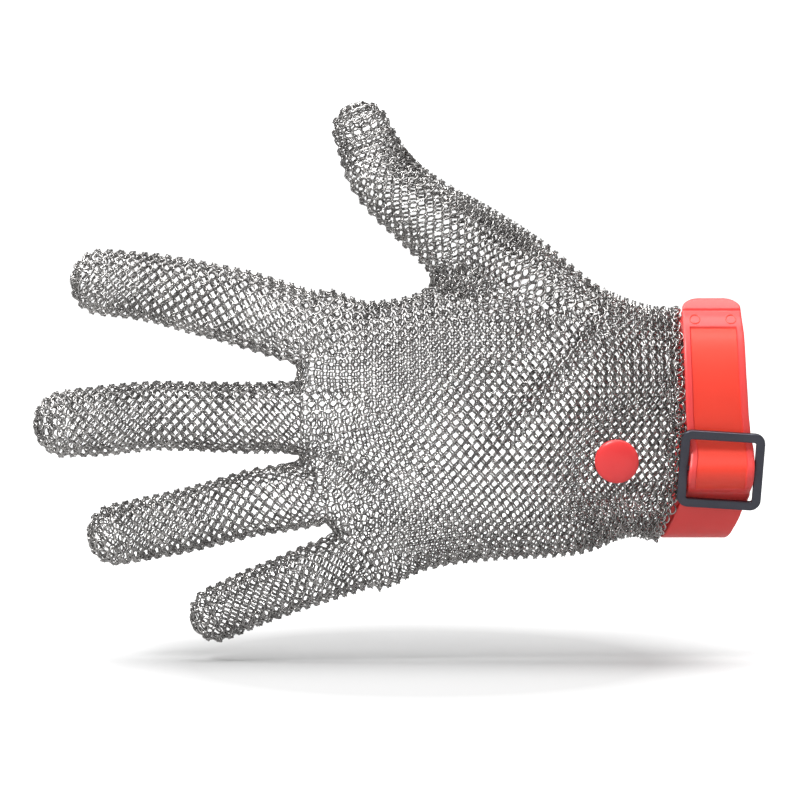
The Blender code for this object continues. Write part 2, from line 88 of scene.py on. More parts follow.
# Columns: x, y, z and half width
FINGERS = {
    "index_stall": np.array([
        (-116.8, -0.8, 30.4, 12.8),
        (-127.7, -0.6, 34.0, 13.0),
        (-142.6, 0.0, 38.5, 13.0),
        (-157.4, 1.0, 42.1, 12.4),
        (-172.3, 2.4, 45.2, 11.6),
        (-187.7, 4.4, 46.7, 11.2),
    ]),
    "middle_stall": np.array([
        (-116.8, -0.9, 2.3, 12.2),
        (-127.7, -0.8, 2.5, 12.0),
        (-142.6, -0.4, 2.2, 12.0),
        (-157.4, 0.5, 2.6, 11.7),
        (-172.3, 1.8, 2.7, 11.7),
        (-187.1, 3.6, 1.0, 11.9),
        (-199.9, 5.4, -0.2, 11.4),
    ]),
    "ring_stall": np.array([
        (-112.0, -0.6, -22.0, 11.4),
        (-127.7, -0.4, -24.4, 11.5),
        (-137.6, 0.2, -25.9, 11.5),
        (-147.5, 1.0, -28.5, 11.1),
        (-162.4, 2.6, -32.5, 10.9),
        (-183.2, 5.4, -36.9, 10.5),
    ]),
    "little_stall": np.array([
        (-98.0, 0.6, -41.9, 11.0),
        (-107.9, 0.7, -45.9, 10.8),
        (-117.8, 1.0, -49.5, 10.5),
        (-127.7, 1.8, -53.4, 10.0),
        (-137.6, 3.0, -57.4, 9.8),
        (-150.2, 4.8, -63.2, 9.5),
    ]),
    "thumb_stall": np.array([
        (-28.0, 1.6, 29.6, 11.0),
        (-38.6, 3.0, 38.6, 13.5),
        (-48.5, 4.6, 46.6, 14.5),
        (-60.6, 6.6, 55.0, 14.3),
        (-72.6, 8.6, 62.3, 14.1),
        (-81.4, 10.2, 68.9, 12.9),
        (-91.3, 12.2, 77.1, 12.1),
        (-97.3, 13.5, 84.6, 11.6),
        (-102.3, 15.4, 96.2, 10.1),
    ]),
}
# Rows of rings round each stall: on the back, on the little-finger flank and on the
# thumb-side flank, and the parity of the first; the palm side has as many as the back
ROWS = {
    "index_stall": (12, 5, 5, 0),
    "middle_stall": (12, 5, 5, 0),
    "ring_stall": (11, 5, 5, 0),
    "little_stall": (10, 5, 3, 1),
}
THUMB_ROWS = 36
FINGER_ORDER = ("index_stall", "middle_stall", "ring_stall", "little_stall")
NEAR_LIMB = 28.0         # a limb further than this from a point doesn't shape it
BACK_EDGE = 2.0          # creases are on the mail whose y is less than this,
BACK_EASE = 6.0          # and reach their full height this much further out
FOLD_FADE = 6.0          # length over which a crease fades past its ends
# Creases in the back of the mail: a line from x, z to x, z, the width of the valley or
# ridge and its height, and how strongly and how widely rings crowd toward it
FOLDS = np.array([
    (-23.0, 38.0, -40.0, 19.0, 1.8, -1.3, 0.55, 4.5),      # from the thumb's root inward
    (-38.0, 21.0, -59.0, -3.0, 2.6, -1.0, 0.45, 6.0),
    (-125.0, 14.0, -101.0, 11.0, 4.0, -1.2, 0.35, 5.0),    # index to middle knuckle
    (-121.0, -7.0, -94.0, -19.5, 3.6, -1.6, 0.5, 6.5),     # middle to ring knuckle
    (-115.0, -34.5, -95.0, -32.0, 2.8, -1.2, 0.45, 4.5),   # ring to little knuckle
    (-75.5, 62.0, -79.5, 47.0, 1.6, 1.2, 0.5, 3.0),        # gathers at the thumb's crook
    (-70.5, 62.0, -73.5, 46.0, 1.6, 1.3, 0.5, 3.0),
    (-65.0, 62.0, -67.5, 46.0, 1.8, 1.0, 0.4, 3.2),
    (-30.0, -24.0, -4.0, -20.0, 3.0, -0.7, 0.35, 5.0),     # below the stud
    (-52.0, -30.0, -6.0, -29.0, 3.5, 0.7, 0.3, 5.0),
])
Form = Callable[[np.ndarray], np.ndarray]


# ------------------------------------------------------------ the glove's surface

def smooth_rows(table: np.ndarray, at: np.ndarray) -> np.ndarray:
    """Read a table at fractional row numbers along a smooth curve.

    Args:
        table: rows by columns.
        at: row numbers, fractions allowed.

    Returns:
        One interpolated row for each entry of at.
    """
    last = len(table) - 1
    i = np.clip(np.floor(at).astype(int), 0, last - 1)
    f = (at - i)[:, None]
    p1, p2 = table[i], table[i + 1]
    p0, p3 = table[np.maximum(i - 1, 0)], table[np.minimum(i + 2, last)]
    m1 = np.where((i > 0)[:, None], (p2 - p0) / 2, p2 - p1)
    m2 = np.where((i < last - 1)[:, None], (p3 - p1) / 2, p2 - p1)
    return (p1 * (2 * f**3 - 3 * f**2 + 1) + m1 * (f**3 - 2 * f**2 + f)
            + p2 * (3 * f**2 - 2 * f**3) + m2 * (f**3 - f**2))


def unit(v: np.ndarray) -> np.ndarray:
    """Scale each row of v to length 1."""
    return v / np.maximum(np.linalg.norm(v, axis=-1, keepdims=True), 1e-9)


def smooth_step(x: np.ndarray) -> np.ndarray:
    """Ease from 0 to 1 over the unit interval."""
    x = np.clip(x, 0.0, 1.0)
    return x * x * (3 - 2 * x)


def soft_min(a: np.ndarray, b: np.ndarray, reach: float | np.ndarray) -> np.ndarray:
    """Smaller of two distances, with a fillet of the given reach."""
    h = np.clip(0.5 + 0.5 * (b - a) / reach, 0.0, 1.0)
    return b + (a - b) * h - reach * h * (1 - h)


@dataclass
class Limb:
    """One finger tube about a curved centre line.

    Attributes:
        table: rows of x, y, z and half width of the mail's outer face.
        inset: how far the described surface lies under the outer face.
        root_flat: depth of its root as a share of its width.
        tip_flat: the same at the tip.
        power: how square its section is.
        samples: steps along its centre line.
    """

    table: np.ndarray
    inset: float
    root_flat: float = 1.0
    tip_flat: float = 0.90
    power: float = 2.15
    samples: int = 72
    centre: np.ndarray = field(init=False)
    along: np.ndarray = field(init=False)
    across: np.ndarray = field(init=False)
    depth: np.ndarray = field(init=False)
    half: np.ndarray = field(init=False)
    run: np.ndarray = field(init=False)

    def __post_init__(self) -> None:
        """Sample the centre line finely."""
        at = np.linspace(0, len(self.table) - 1, self.samples)
        rows = smooth_rows(self.table, at)
        self.centre = rows[:, :3]
        self.along = unit(np.gradient(self.centre, axis=0))
        side = np.stack([self.along[:, 2], 0 * at, -self.along[:, 0]], axis=1)
        self.across = unit(side)
        self.depth = unit(np.cross(self.along, self.across))
        flat = np.interp(at, [0, len(self.table) - 1], [self.root_flat, self.tip_flat])
        self.half = np.stack([rows[:, 3] - self.inset, rows[:, 3] * flat - self.inset,
                              rows[:, 3] - self.inset], axis=1)
        steps = np.linalg.norm(np.diff(self.centre, axis=0), axis=1)
        self.run = np.concatenate([[0.0], np.cumsum(steps)])

    @property
    def length(self) -> float:
        """Length of the centre line from the root to the middle of the tip."""
        return float(self.run[-1])

    def frame_at(self, run: np.ndarray) -> tuple[np.ndarray, ...]:
        """Centre, along, across, depth and half sizes at distances from the root."""
        parts = []
        for values in (self.centre, self.along, self.across, self.depth, self.half):
            cols = [np.interp(run, self.run, values[:, c]) for c in range(3)]
            parts.append(np.stack(cols, axis=-1))
        centre, along, across, depth, half = parts
        past = run - np.clip(run, 0.0, self.length)
        centre = centre + along * past[..., None]
        return centre, unit(along), unit(across), unit(depth), half

    def point(self, run: np.ndarray, turn: np.ndarray) -> np.ndarray:
        """Surface points; turn is 0 at the back and grows toward the little finger."""
        centre, _, across, depth, half = self.frame_at(run)
        e = 2.0 / self.power
        c, s = np.cos(turn), np.sin(turn)
        back = np.sign(c) * np.abs(c) ** e
        side = np.sign(s) * np.abs(s) ** e
        return centre - across * (half[..., :1] * side[..., None]) \
            - depth * (half[..., 1:2] * back[..., None])

    def tip_point(self, rise: np.ndarray, turn: np.ndarray) -> np.ndarray:
        """Points of the round tip; rise runs from 0 at its edge to 1 at its end."""
        full = np.full_like(rise, self.length)
        centre, along, across, depth, half = self.frame_at(full)
        ring, top = np.cos(rise * math.pi / 2), np.sin(rise * math.pi / 2)
        return (centre + along * (half[:, 2:] * top[:, None])
                - across * (half[:, :1] * (ring * np.sin(turn))[:, None])
                - depth * (half[:, 1:2] * (ring * np.cos(turn))[:, None]))

    def nearest_run(self, points: np.ndarray) -> np.ndarray:
        """Distance along the centre line, from the root, nearest each point."""
        gap = points[:, None, :] - self.centre[None]
        i = np.argmin((gap**2).sum(-1), axis=1)
        return self.run[i] + (gap[np.arange(len(points)), i] * self.along[i]).sum(-1)

    def distance(self, points: np.ndarray) -> np.ndarray:
        """Signed distance to the tube, close to true near its surface."""
        run = np.clip(self.nearest_run(points), 0.0, self.length)
        centre, along, across, depth, half = self.frame_at(run)
        gap = points - centre
        local = np.stack([(gap * across).sum(-1), (gap * depth).sum(-1), (gap * along).sum(-1)],
                         axis=1)
        inside = (run > 0) & (run < self.length)
        local[inside, 2] = 0.0
        g = (np.abs(local / half) ** self.power).sum(-1) ** (1 / self.power)
        reach = np.linalg.norm(local, axis=1)
        return np.where(g > 1e-6, reach * (1 - 1 / np.maximum(g, 1e-6)), -half[:, 1])


@dataclass
class Palm:
    """The hand's sleeve, lofted through bent oval sections.

    Attributes:
        inset: how far the described surface lies under the outer face.
        samples: steps between the first and the last section.
        sides: corners of a section's outline.
        end_round: how far the knuckle end bulges.
        past_side: how far past its sides a tilted section goes on, in half widths.
    """

    inset: float
    samples: int = 90
    sides: int = 240
    end_round: float = 3.0
    past_side: float = 1.3
    rows: np.ndarray = field(init=False)

    def __post_init__(self) -> None:
        """Sample the section table finely."""
        at = np.linspace(0, len(HAND) - 1, self.samples)
        self.rows = smooth_rows(HAND, at)
        self.rows[:, 5:7] -= self.inset

    def section_curve(self, x: float) -> np.ndarray:
        """Closed outline of the section whose table x is given, thumb side first."""
        rows = np.array([np.interp(-x, -self.rows[:, 0], self.rows[:, c]) for c in range(8)])
        x_extra = x - rows[0]
        turn = np.linspace(0, -2 * math.pi, self.sides, endpoint=False)
        e = 2.0 / rows[7]
        c = np.sign(np.cos(turn)) * np.abs(np.cos(turn)) ** e
        s = np.sign(np.sin(turn)) * np.abs(np.sin(turn)) ** e
        y = rows[6] * s
        px = rows[0] + x_extra + rows[1] * c + rows[2] * c * c - rows[3] * y
        return np.stack([px, y, rows[4] + rows[5] * c], axis=1)

    def ring_row(self, x: float, shares: np.ndarray) -> tuple[np.ndarray, np.ndarray]:
        """Points at given shares of a section's girth, and their angles in degrees."""
        curve = self.section_curve(x)
        closed = np.vstack([curve, curve[:1]])
        run = np.concatenate([[0], np.cumsum(np.linalg.norm(np.diff(closed, axis=0), axis=1))])
        want = (shares % 1.0) * run[-1]
        points = np.stack([np.interp(want, run, closed[:, c]) for c in range(3)], axis=1)
        return points, np.interp(want, run, np.linspace(0, 360, self.sides + 1))

    def distance(self, points: np.ndarray) -> np.ndarray:
        """Signed distance to the sleeve, close to true near its surface."""
        x, tilt, bow, lean, z0, wide, deep, power = self.rows.T
        t = np.clip((points[:, 2:3] - z0) / wide, -self.past_side, self.past_side)
        plane = x + tilt * t + bow * t * t - lean * points[:, 1:2]
        ahead = plane - points[:, :1]
        i = np.clip((ahead > 0).sum(1) - 1, 0, self.samples - 2)
        pick = np.arange(len(points))
        a, b = ahead[pick, i], ahead[pick, i + 1]
        f = np.clip(a / np.maximum(a - b, 1e-9), 0.0, 1.0)
        row = self.rows[i] + (self.rows[i + 1] - self.rows[i]) * f[:, None]
        past = np.maximum(ahead[:, -1], 0.0)
        h = (points[:, 2] - row[:, 4]) / row[:, 5]
        v = points[:, 1] / row[:, 6]
        g = (np.abs(h) ** row[:, 7] + np.abs(v) ** row[:, 7]
             + (past / self.end_round) ** row[:, 7]) ** (1 / row[:, 7])
        reach = np.sqrt((points[:, 2] - row[:, 4]) ** 2 + points[:, 1] ** 2 + past**2)
        return reach * (1 - 1 / np.maximum(g, 1e-6))


def on_back(points: np.ndarray) -> np.ndarray:
    """How far points are on the back of the hand, from 0 to 1."""
    return smooth_step((BACK_EDGE - points[:, 1]) / BACK_EASE)


def across_fold(points: np.ndarray, fold: np.ndarray) -> tuple[np.ndarray, ...]:
    """Where points lie against a crease, seen from the back of the hand.

    Args:
        points: rows of x, y, z.
        fold: one row of FOLDS.

    Returns:
        Distance to its side, a weight that fades past its ends, and the sideways direction.
    """
    start, run = fold[:2], fold[2:4] - fold[:2]
    length = float(np.linalg.norm(run))
    run = run / length
    gap = points[:, [0, 2]] - start
    along = gap @ run
    ends = (smooth_step(along / FOLD_FADE + 0.5)
            * smooth_step((length - along) / FOLD_FADE + 0.5))
    side = np.array([-run[1], 0.0, run[0]])
    return gap @ side[[0, 2]], ends, side


@dataclass
class GloveSurface:
    """Middle surface of the mail: palm, fingers and thumb blended into one skin.

    Attributes:
        inset: how far it lies under the mail's outer face.
        finger_fillet: reach of the fillet in the finger crotches.
        flat_fillet: share of that left on the back and on the palm side.
        crotch_half: half the depth, in y, that has the whole fillet.
        crotch_ease: further depth over which it shrinks.
        thumb_fillet: reach of the fillet round the thumb's root.
        most_step: furthest that one round of settling moves a point.
    """

    inset: float = 1.05
    finger_fillet: float = 8.5
    flat_fillet: float = 0.2
    crotch_half: float = 5.0
    crotch_ease: float = 6.0
    thumb_fillet: float = 15.0
    most_step: float = 4.0
    palm: Palm = field(init=False)
    limbs: dict[str, Limb] = field(init=False)

    def __post_init__(self) -> None:
        """Build the primitive forms."""
        self.palm = Palm(self.inset)
        self.limbs = {name: Limb(table, self.inset) for name, table in FINGERS.items()}

    def limb_distance(self, name: str, points: np.ndarray) -> np.ndarray:
        """Distance to one limb, worked out only for the points near it."""
        limb = self.limbs[name]
        low = limb.centre.min(0) - NEAR_LIMB
        high = limb.centre.max(0) + NEAR_LIMB
        near = ((points > low) & (points < high)).all(1)
        out = np.full(len(points), NEAR_LIMB)
        if near.any():
            out[near] = limb.distance(points[near])
        return out

    def main_distance(self, points: np.ndarray) -> np.ndarray:
        """Distance to the palm with its four fingers."""
        fingers = np.min([self.limb_distance(name, points) for name in FINGER_ORDER], axis=0)
        face = smooth_step((np.abs(points[:, 1]) - self.crotch_half) / self.crotch_ease)
        reach = self.finger_fillet * (1 - (1 - self.flat_fillet) * face)
        return soft_min(self.palm.distance(points), fingers, reach)

    def thumb_distance(self, points: np.ndarray) -> np.ndarray:
        """Distance to the thumb alone."""
        return self.limb_distance("thumb_stall", points)

    def distance(self, points: np.ndarray) -> np.ndarray:
        """Distance to the whole glove, with the creases of its back."""
        form = soft_min(self.main_distance(points), self.thumb_distance(points),
                        self.thumb_fillet)
        back = on_back(points)
        for fold in FOLDS:
            off, ends, _ = across_fold(points, fold)
            form = form - back * ends * fold[5] * np.exp(-(off / fold[4]) ** 2)
        return form

    def crowd(self, points: np.ndarray) -> np.ndarray:
        """Draw rings on the back toward the creases."""
        back = on_back(points)
        for fold in FOLDS:
            off, ends, side = across_fold(points, fold)
            pull = fold[6] * off * back * ends * np.exp(-(off / fold[7]) ** 2)
            points = points - pull[:, None] * side
        return points

    def slope(self, points: np.ndarray, form: Form, step: float = 0.25) -> np.ndarray:
        """Gradient of a form's distance, over a step in mm."""
        out = np.empty_like(points)
        for axis in range(3):
            shift = np.zeros(3)
            shift[axis] = step
            out[:, axis] = form(points + shift) - form(points - shift)
        return out / (2 * step)

    def settle(self, points: np.ndarray, form: Form, rounds: int = 3) -> np.ndarray:
        """Move points onto a form's surface along its normals."""
        for _ in range(rounds):
            g = self.slope(points, form)
            size = np.maximum((g**2).sum(1, keepdims=True), 0.2)
            step = np.clip(form(points)[:, None], -self.most_step, self.most_step)
            points = points - step * g / size
        return points


# ------------------------------------------------------------- where the rings sit

HAND_ROWS = 100
HAND_SPACING = 2.14      # between neighbouring rows round the hand
FIRST_SHARE = 3          # rows between the sleeve's thumb-side edge and the first back row
HEM_INSET = 0.6          # first ring centres inside the sleeve's edge
RING_REACH = 4.0         # how far round a gap its neighbouring rings are looked for, mm
FAR_FROM_HEM = 99.0      # ring number of rings that don't belong to a hand row
SEAM_OVERLAP = 0.5       # how far rows run on where the thumb meets the hand
MOST_RINGS = 90          # more rings than any row has
# Ring's number from the hem and the pitch of the rings along a row there
PITCH = ((0, 2.2), (3, 2.6), (8, 2.9), (14, 3.15), (20, 3.45), (26, 3.65), (80, 3.65))
# Where the mail may gape between limbs: lowest and highest corner of each place, mm
GAPES = np.array([
    ((-136.0, -24.0, 6.0), (-108.0, 24.0, 27.0)),
    ((-136.0, -24.0, -20.0), (-108.0, 24.0, -3.0)),
    ((-128.0, -24.0, -44.0), (-98.0, 24.0, -26.0)),
    ((-98.0, -22.0, 34.0), (-62.0, 26.0, 62.0)),
])
# Number of the last shared ring at each finger's thumb-side and little-finger-side crotch
CROTCH = {
    "index_stall": (38, 38),
    "middle_stall": (38, 38),
    "ring_stall": (38, 34),
    "little_stall": (34, 34),
}
CROTCH_X = {"index_stall": -122.8, "middle_stall": -122.8, "ring_stall": -121.0,
            "little_stall": -107.9}


def run_table(last: int) -> np.ndarray:
    """Distance from the hem of every half step of ring number, up to last."""
    at = np.arange(0, last, 0.5)
    ring, pitch = np.array(PITCH).T
    steps = np.interp(at + 0.25, ring, pitch) / 2
    return np.concatenate([[0.0], np.cumsum(steps)])


@dataclass
class RowPlace:
    """Which finger a row belongs to and where it lies round it.

    Attributes:
        finger: name of the stall that the row ends in.
        index: row number round that finger, back rows first.
        hand_row: row number round the hand, or -1 for a row born in a crotch.
        parity: 0 or 1, the half step by which its rings are shifted.
        start: number of its first ring.
        crotch: ring number where it leaves the hand.
    """

    finger: str
    index: int
    hand_row: int
    parity: int
    start: int
    crotch: float


def plan_rows() -> list[RowPlace]:
    """Every row of the hand and the four fingers."""
    rows: list[RowPlace] = []
    front = 0
    counts = [ROWS[name] for name in FINGER_ORDER]
    back_total = sum(c[0] for c in counts)
    outer_side = counts[-1][1]
    palm_first = back_total + outer_side
    palm_end = palm_first + back_total
    for order, name in enumerate(FINGER_ORDER):
        back, outer, inner, shift = ROWS[name]
        total = 2 * back + outer + inner
        c_in, c_out = CROTCH[name]
        palm_start = palm_end - front - back
        for i in range(total):
            share = 0.5
            hand_row = -1
            if i < back:
                hand_row, share = front + i, (i + 0.5) / back
            elif i < back + outer:
                share = 1.0
                if name == FINGER_ORDER[-1]:
                    hand_row = back_total + i - back
            elif i < 2 * back + outer:
                j = i - back - outer
                hand_row, share = palm_start + j, 1 - (j + 0.5) / back
            else:
                share = 0.0
                if order == 0:
                    hand_row = palm_end + i - 2 * back - outer
            crotch = c_in + (c_out - c_in) * share
            start = 0 if hand_row >= 0 else int(round(crotch)) + 1
            rows.append(RowPlace(name, i, hand_row, (i + shift) % 2, start, crotch))
        front += back
    return rows


@dataclass
class WristLoop:
    """The strap's course round the wrist opening, and the mail's edge beside it.

    Attributes:
        half_height: belt centre line above the origin.
        half_depth: belt centre line in front of the origin.
        power: how square the loop is.
        width: nominal belt width.
        edges: angle from the top by way of the back, and X of the belt's near edge there.
    """

    half_height: float = 36.5
    half_depth: float = 21.7
    power: float = 2.3
    width: float = 21.8
    hem_gap: float = 1.4
    edges: tuple[tuple[float, float], ...] = (
        (0, 3.0), (20, 3.3), (40, 3.9), (60, 4.3), (80, 4.7), (95, 4.9), (107, 4.6), (120, 3.0),
        (136, 0.8), (155, -1.9), (180, -3.8), (200, -2.2), (220, 0.4), (240, 2.5), (270, 3.9),
        (315, 4.2), (340, 3.6), (360, 3.0))

    def left(self, angle_deg: float | np.ndarray) -> np.ndarray:
        """X of the belt's edge next to the mail, at angles from the top."""
        angle, left = np.array(self.edges).T
        turned = np.atleast_1d(np.asarray(angle_deg, float)) % 360.0
        at = np.interp(turned, angle, np.arange(len(angle)))
        return smooth_rows(left[:, None], at)[:, 0]

    def hem(self, angle_deg: float | np.ndarray) -> np.ndarray:
        """X of the mail's edge at angles from the top."""
        return self.left(angle_deg) - self.hem_gap

    def at(self, angle_deg: float) -> tuple[Vector, Vector]:
        """Centre-line point and outward direction at an angle from the top."""
        def point(angle: float) -> Vector:
            """Centre-line point at an angle in radians."""
            e = 2 / self.power
            c, s = math.cos(angle), math.sin(angle)
            return Vector((0, -self.half_depth * math.copysign(abs(s) ** e, s),
                           self.half_height * math.copysign(abs(c) ** e, c)))
        a, step = math.radians(angle_deg), math.radians(0.5)
        run = (point(a + step) - point(a - step)).normalized()
        return point(a), Vector((0, run.z, -run.y))

    def frame(self, angle_deg: float, lift: float) -> Matrix:
        """Frame over the loop: X across the strap, Y up along it, Z outward."""
        base, out = self.at(angle_deg)
        ahead, _ = self.at(angle_deg - 3)
        up = (ahead - base).normalized()
        side = up.cross(out).normalized()
        turn = Matrix((side, up, side.cross(up).normalized())).transposed().to_4x4()
        centre = base + out * lift
        centre.x = float(self.left(angle_deg)[0]) + self.width / 2
        return Matrix.Translation(centre) @ turn


@dataclass
class RingLattice:
    """Ring centres, normals and row directions of the whole glove.

    Attributes:
        surface: the skin that the rings lie in.
        loop: the strap's course, which the edge of the mail follows.
        rounds: relaxing rounds that even the rings out.
        gain: how strongly each round moves a ring.
        settle_every: rounds between settlings onto the surface.
        curve_start: distance past the sleeve's edge where the hand's row curves start.
        curve_stops: points of each of those curves.
        finger_turn: rings before its crotch where a row starts to follow its finger, and
            the rings over which it comes to do so.
        root_reach: how far inside its root a finger's row may start.
        even_normals: step over which the rings' normals are evened out.
        hem_loose: how far the first rings stray.
        hem_rings_loose: rings over which that fades.
        thumb_start: distance along the thumb where its rings start.
        thumb_stops: steps in which their pitch is added up.
        thumb_bunch: where they are bunched, over what distance, and how much.
        web_search: spacing of the places tried for web rings.
        web_room: a web ring goes where no other ring is nearer than this.
        seed: seed of the straying.
    """

    surface: GloveSurface
    loop: WristLoop
    rounds: int = 70
    gain: float = 1.6
    settle_every: int = 6
    curve_start: float = 12.0
    curve_stops: int = 72
    finger_turn: tuple[float, float] = (7.0, 9.0)
    root_reach: float = 6.0
    even_normals: float = 1.5
    hem_loose: float = 0.22
    hem_rings_loose: float = 1.6
    thumb_start: float = 4.0
    thumb_stops: int = 400
    thumb_bunch: tuple[float, float, float] = (40.0, 17.0, 0.38)
    web_search: float = 1.2
    web_room: float = 2.05
    seed: int = 5
    centres: np.ndarray = field(init=False)
    forward: np.ndarray = field(init=False)
    normal: np.ndarray = field(init=False)
    parity: np.ndarray = field(init=False)
    pitch: np.ndarray = field(init=False)
    area: np.ndarray = field(init=False)
    ring: np.ndarray = field(init=False)
    _nodes: dict[tuple[str, int, int], int] = field(default_factory=dict)
    _points: list[np.ndarray] = field(default_factory=list)
    _info: list[tuple[str, float, int]] = field(default_factory=list)
    _pinned: list[bool] = field(default_factory=list)
    _hem: dict[int, int] = field(default_factory=dict)

    def _add(self, key: tuple[str, int, int], point: np.ndarray, area: str, ring: float,
             parity: int, pinned: bool) -> None:
        """Record one ring."""
        self._nodes[key] = len(self._points)
        self._points.append(point)
        self._info.append((area, ring, parity))
        self._pinned.append(pinned)

    def _hand_curves(self) -> tuple[np.ndarray, np.ndarray]:
        """Row curves over the sleeve and the distance along each from the hem."""
        shares = (np.arange(HAND_ROWS) + FIRST_SHARE) / HAND_ROWS
        stops = np.linspace(HAND[0, 0] + self.curve_start, HAND[-1, 0], self.curve_stops)
        palm = self.surface.palm
        curves = np.stack([palm.ring_row(x, shares)[0] for x in stops])
        steps = np.linalg.norm(np.diff(curves, axis=0), axis=2)
        run = np.vstack([np.zeros(HAND_ROWS), np.cumsum(steps, axis=0)])
        hem = self.loop.hem(palm.ring_row(HAND[0, 0], shares)[1])
        for row in range(HAND_ROWS):
            run[:, row] -= np.interp(-hem[row], -curves[:, row, 0], run[:, row])
        return curves, run

    def _on_hand(self, curves: np.ndarray, run: np.ndarray, row: int,
                 distance: np.ndarray) -> np.ndarray:
        """Points of a hand row at distances from the hem, going straight past its end."""
        out = np.stack([np.interp(distance, run[:, row], curves[:, row, c])
                        for c in range(3)], axis=1)
        past = np.maximum(distance - run[-1, row], 0.0)
        ahead = unit(curves[-1, row] - curves[-4, row])
        return out + past[:, None] * ahead

    def build_main(self) -> None:
        """Lay the rows of the hand and of the four fingers."""
        hem_run = run_table(MOST_RINGS)
        curves, run = self._hand_curves()
        for row in plan_rows():
            limb = self.surface.limbs[row.finger]
            back, outer, inner, _ = ROWS[row.finger]
            total = 2 * back + outer + inner
            turn = 2 * math.pi * (row.index - (back - 1) / 2) / total
            crotch_run = limb.nearest_run(np.array(
                [[CROTCH_X[row.finger], 0.0, np.interp(CROTCH_X[row.finger],
                                                       limb.centre[::-1, 0],
                                                       limb.centre[::-1, 2])]]))[0]
            mean = sum(CROTCH[row.finger]) / 2
            span = limb.length - crotch_run
            many = round(span / PITCH[-1][1])
            last = mean + many
            rings = np.arange(row.start, int(last) + 1) + row.parity / 2
            rings = rings[rings <= last + 0.01]
            limb_run = crotch_run + (rings - mean) * span / many
            on_limb = limb.point(np.maximum(limb_run, -self.root_reach),
                                 np.full_like(limb_run, turn))
            before, over = self.finger_turn
            weight = smooth_step((rings - (row.crotch - before)) / over)[:, None]
            if row.hand_row >= 0:
                distance = HEM_INSET + np.interp(rings * 2, np.arange(len(hem_run)), hem_run)
                on_hand = self._on_hand(curves, run, row.hand_row, distance)
                points = on_hand + (on_limb - on_hand) * weight
            else:
                points = on_limb
            end = rings.max()
            if row.hand_row >= 0:
                self._hem[row.hand_row] = len(self._points)
            for ring, point in zip(rings, points):
                side = "back" if point[1] < 0 else "palm"
                area = row.finger if ring > row.crotch else side
                key = (row.finger, row.index, int(2 * ring))
                self._add(key, point, area, ring, row.parity, ring < 1 or ring > end - 0.9)

    def links(self) -> list[tuple[int, int, float]]:
        """Pairs of rings that should keep a distance, with that distance."""
        pairs: list[tuple[int, int, float]] = []
        ring, pitch = np.array(PITCH).T

        def rest(two_ring: float) -> float:
            """Pitch at twice a ring number."""
            return float(np.interp(two_ring / 2, ring, pitch))

        def across(a: str, i: int, b: str, j: int, low: float, high: float) -> None:
            """Pair the rings of two neighbouring rows between two ring numbers."""
            for (name, row, two), node in list(self._nodes.items()):
                if name != a or row != i or not low <= two / 2 <= high:
                    continue
                for step in (-1, 1):
                    other = self._nodes.get((b, j, two + step))
                    if other is not None:
                        spread = spacing[a] if two / 2 > CROTCH[a][0] else HAND_SPACING
                        pairs.append((node, other, math.hypot(rest(two) / 2, spread)))

        spacing = {}
        for name in FINGER_ORDER:
            back, outer, inner, _ = ROWS[name]
            girth = 2 * math.pi * (self.surface.limbs[name].half[30, :2].mean())
            spacing[name] = girth / (2 * back + outer + inner)
        by_row: dict[tuple[str, int], list[tuple[int, int]]] = {}
        for (name, row, two), node in self._nodes.items():
            by_row.setdefault((name, row), []).append((two, node))
            nxt = self._nodes.get((name, row, two + 2))
            if nxt is not None:
                pairs.append((node, nxt, rest(two + 1)))
        plan = plan_rows()
        by_hand = {r.hand_row: r for r in plan if r.hand_row >= 0}
        totals = {n: 2 * ROWS[n][0] + ROWS[n][1] + ROWS[n][2] for n in FINGER_ORDER}
        hand_pairs = set()
        for row in plan:
            nxt = (row.index + 1) % totals[row.finger]
            both = [r for r in plan if r.finger == row.finger and r.index == nxt][0]
            same_hand = (row.hand_row >= 0 and both.hand_row >= 0
                         and (both.hand_row - row.hand_row) % HAND_ROWS == 1)
            across(row.finger, row.index, row.finger, nxt, 0 if same_hand else row.crotch, 99)
            if same_hand:
                hand_pairs.add(row.hand_row)
        for k in range(HAND_ROWS):
            if k in hand_pairs:
                continue
            a, b = by_hand[k], by_hand[(k + 1) % HAND_ROWS]
            across(a.finger, a.index, b.finger, b.index, 0, min(a.crotch, b.crotch) + 0.6)
        for left, right in zip(FINGER_ORDER, FINGER_ORDER[1:]):
            for k in range(min(ROWS[left][1], ROWS[right][2])):
                a = by_row[left, ROWS[left][0] + k]
                b = by_row[right, totals[right] - 1 - k]
                pairs.append((min(a)[1], min(b)[1], PITCH[-1][1]))
        return pairs

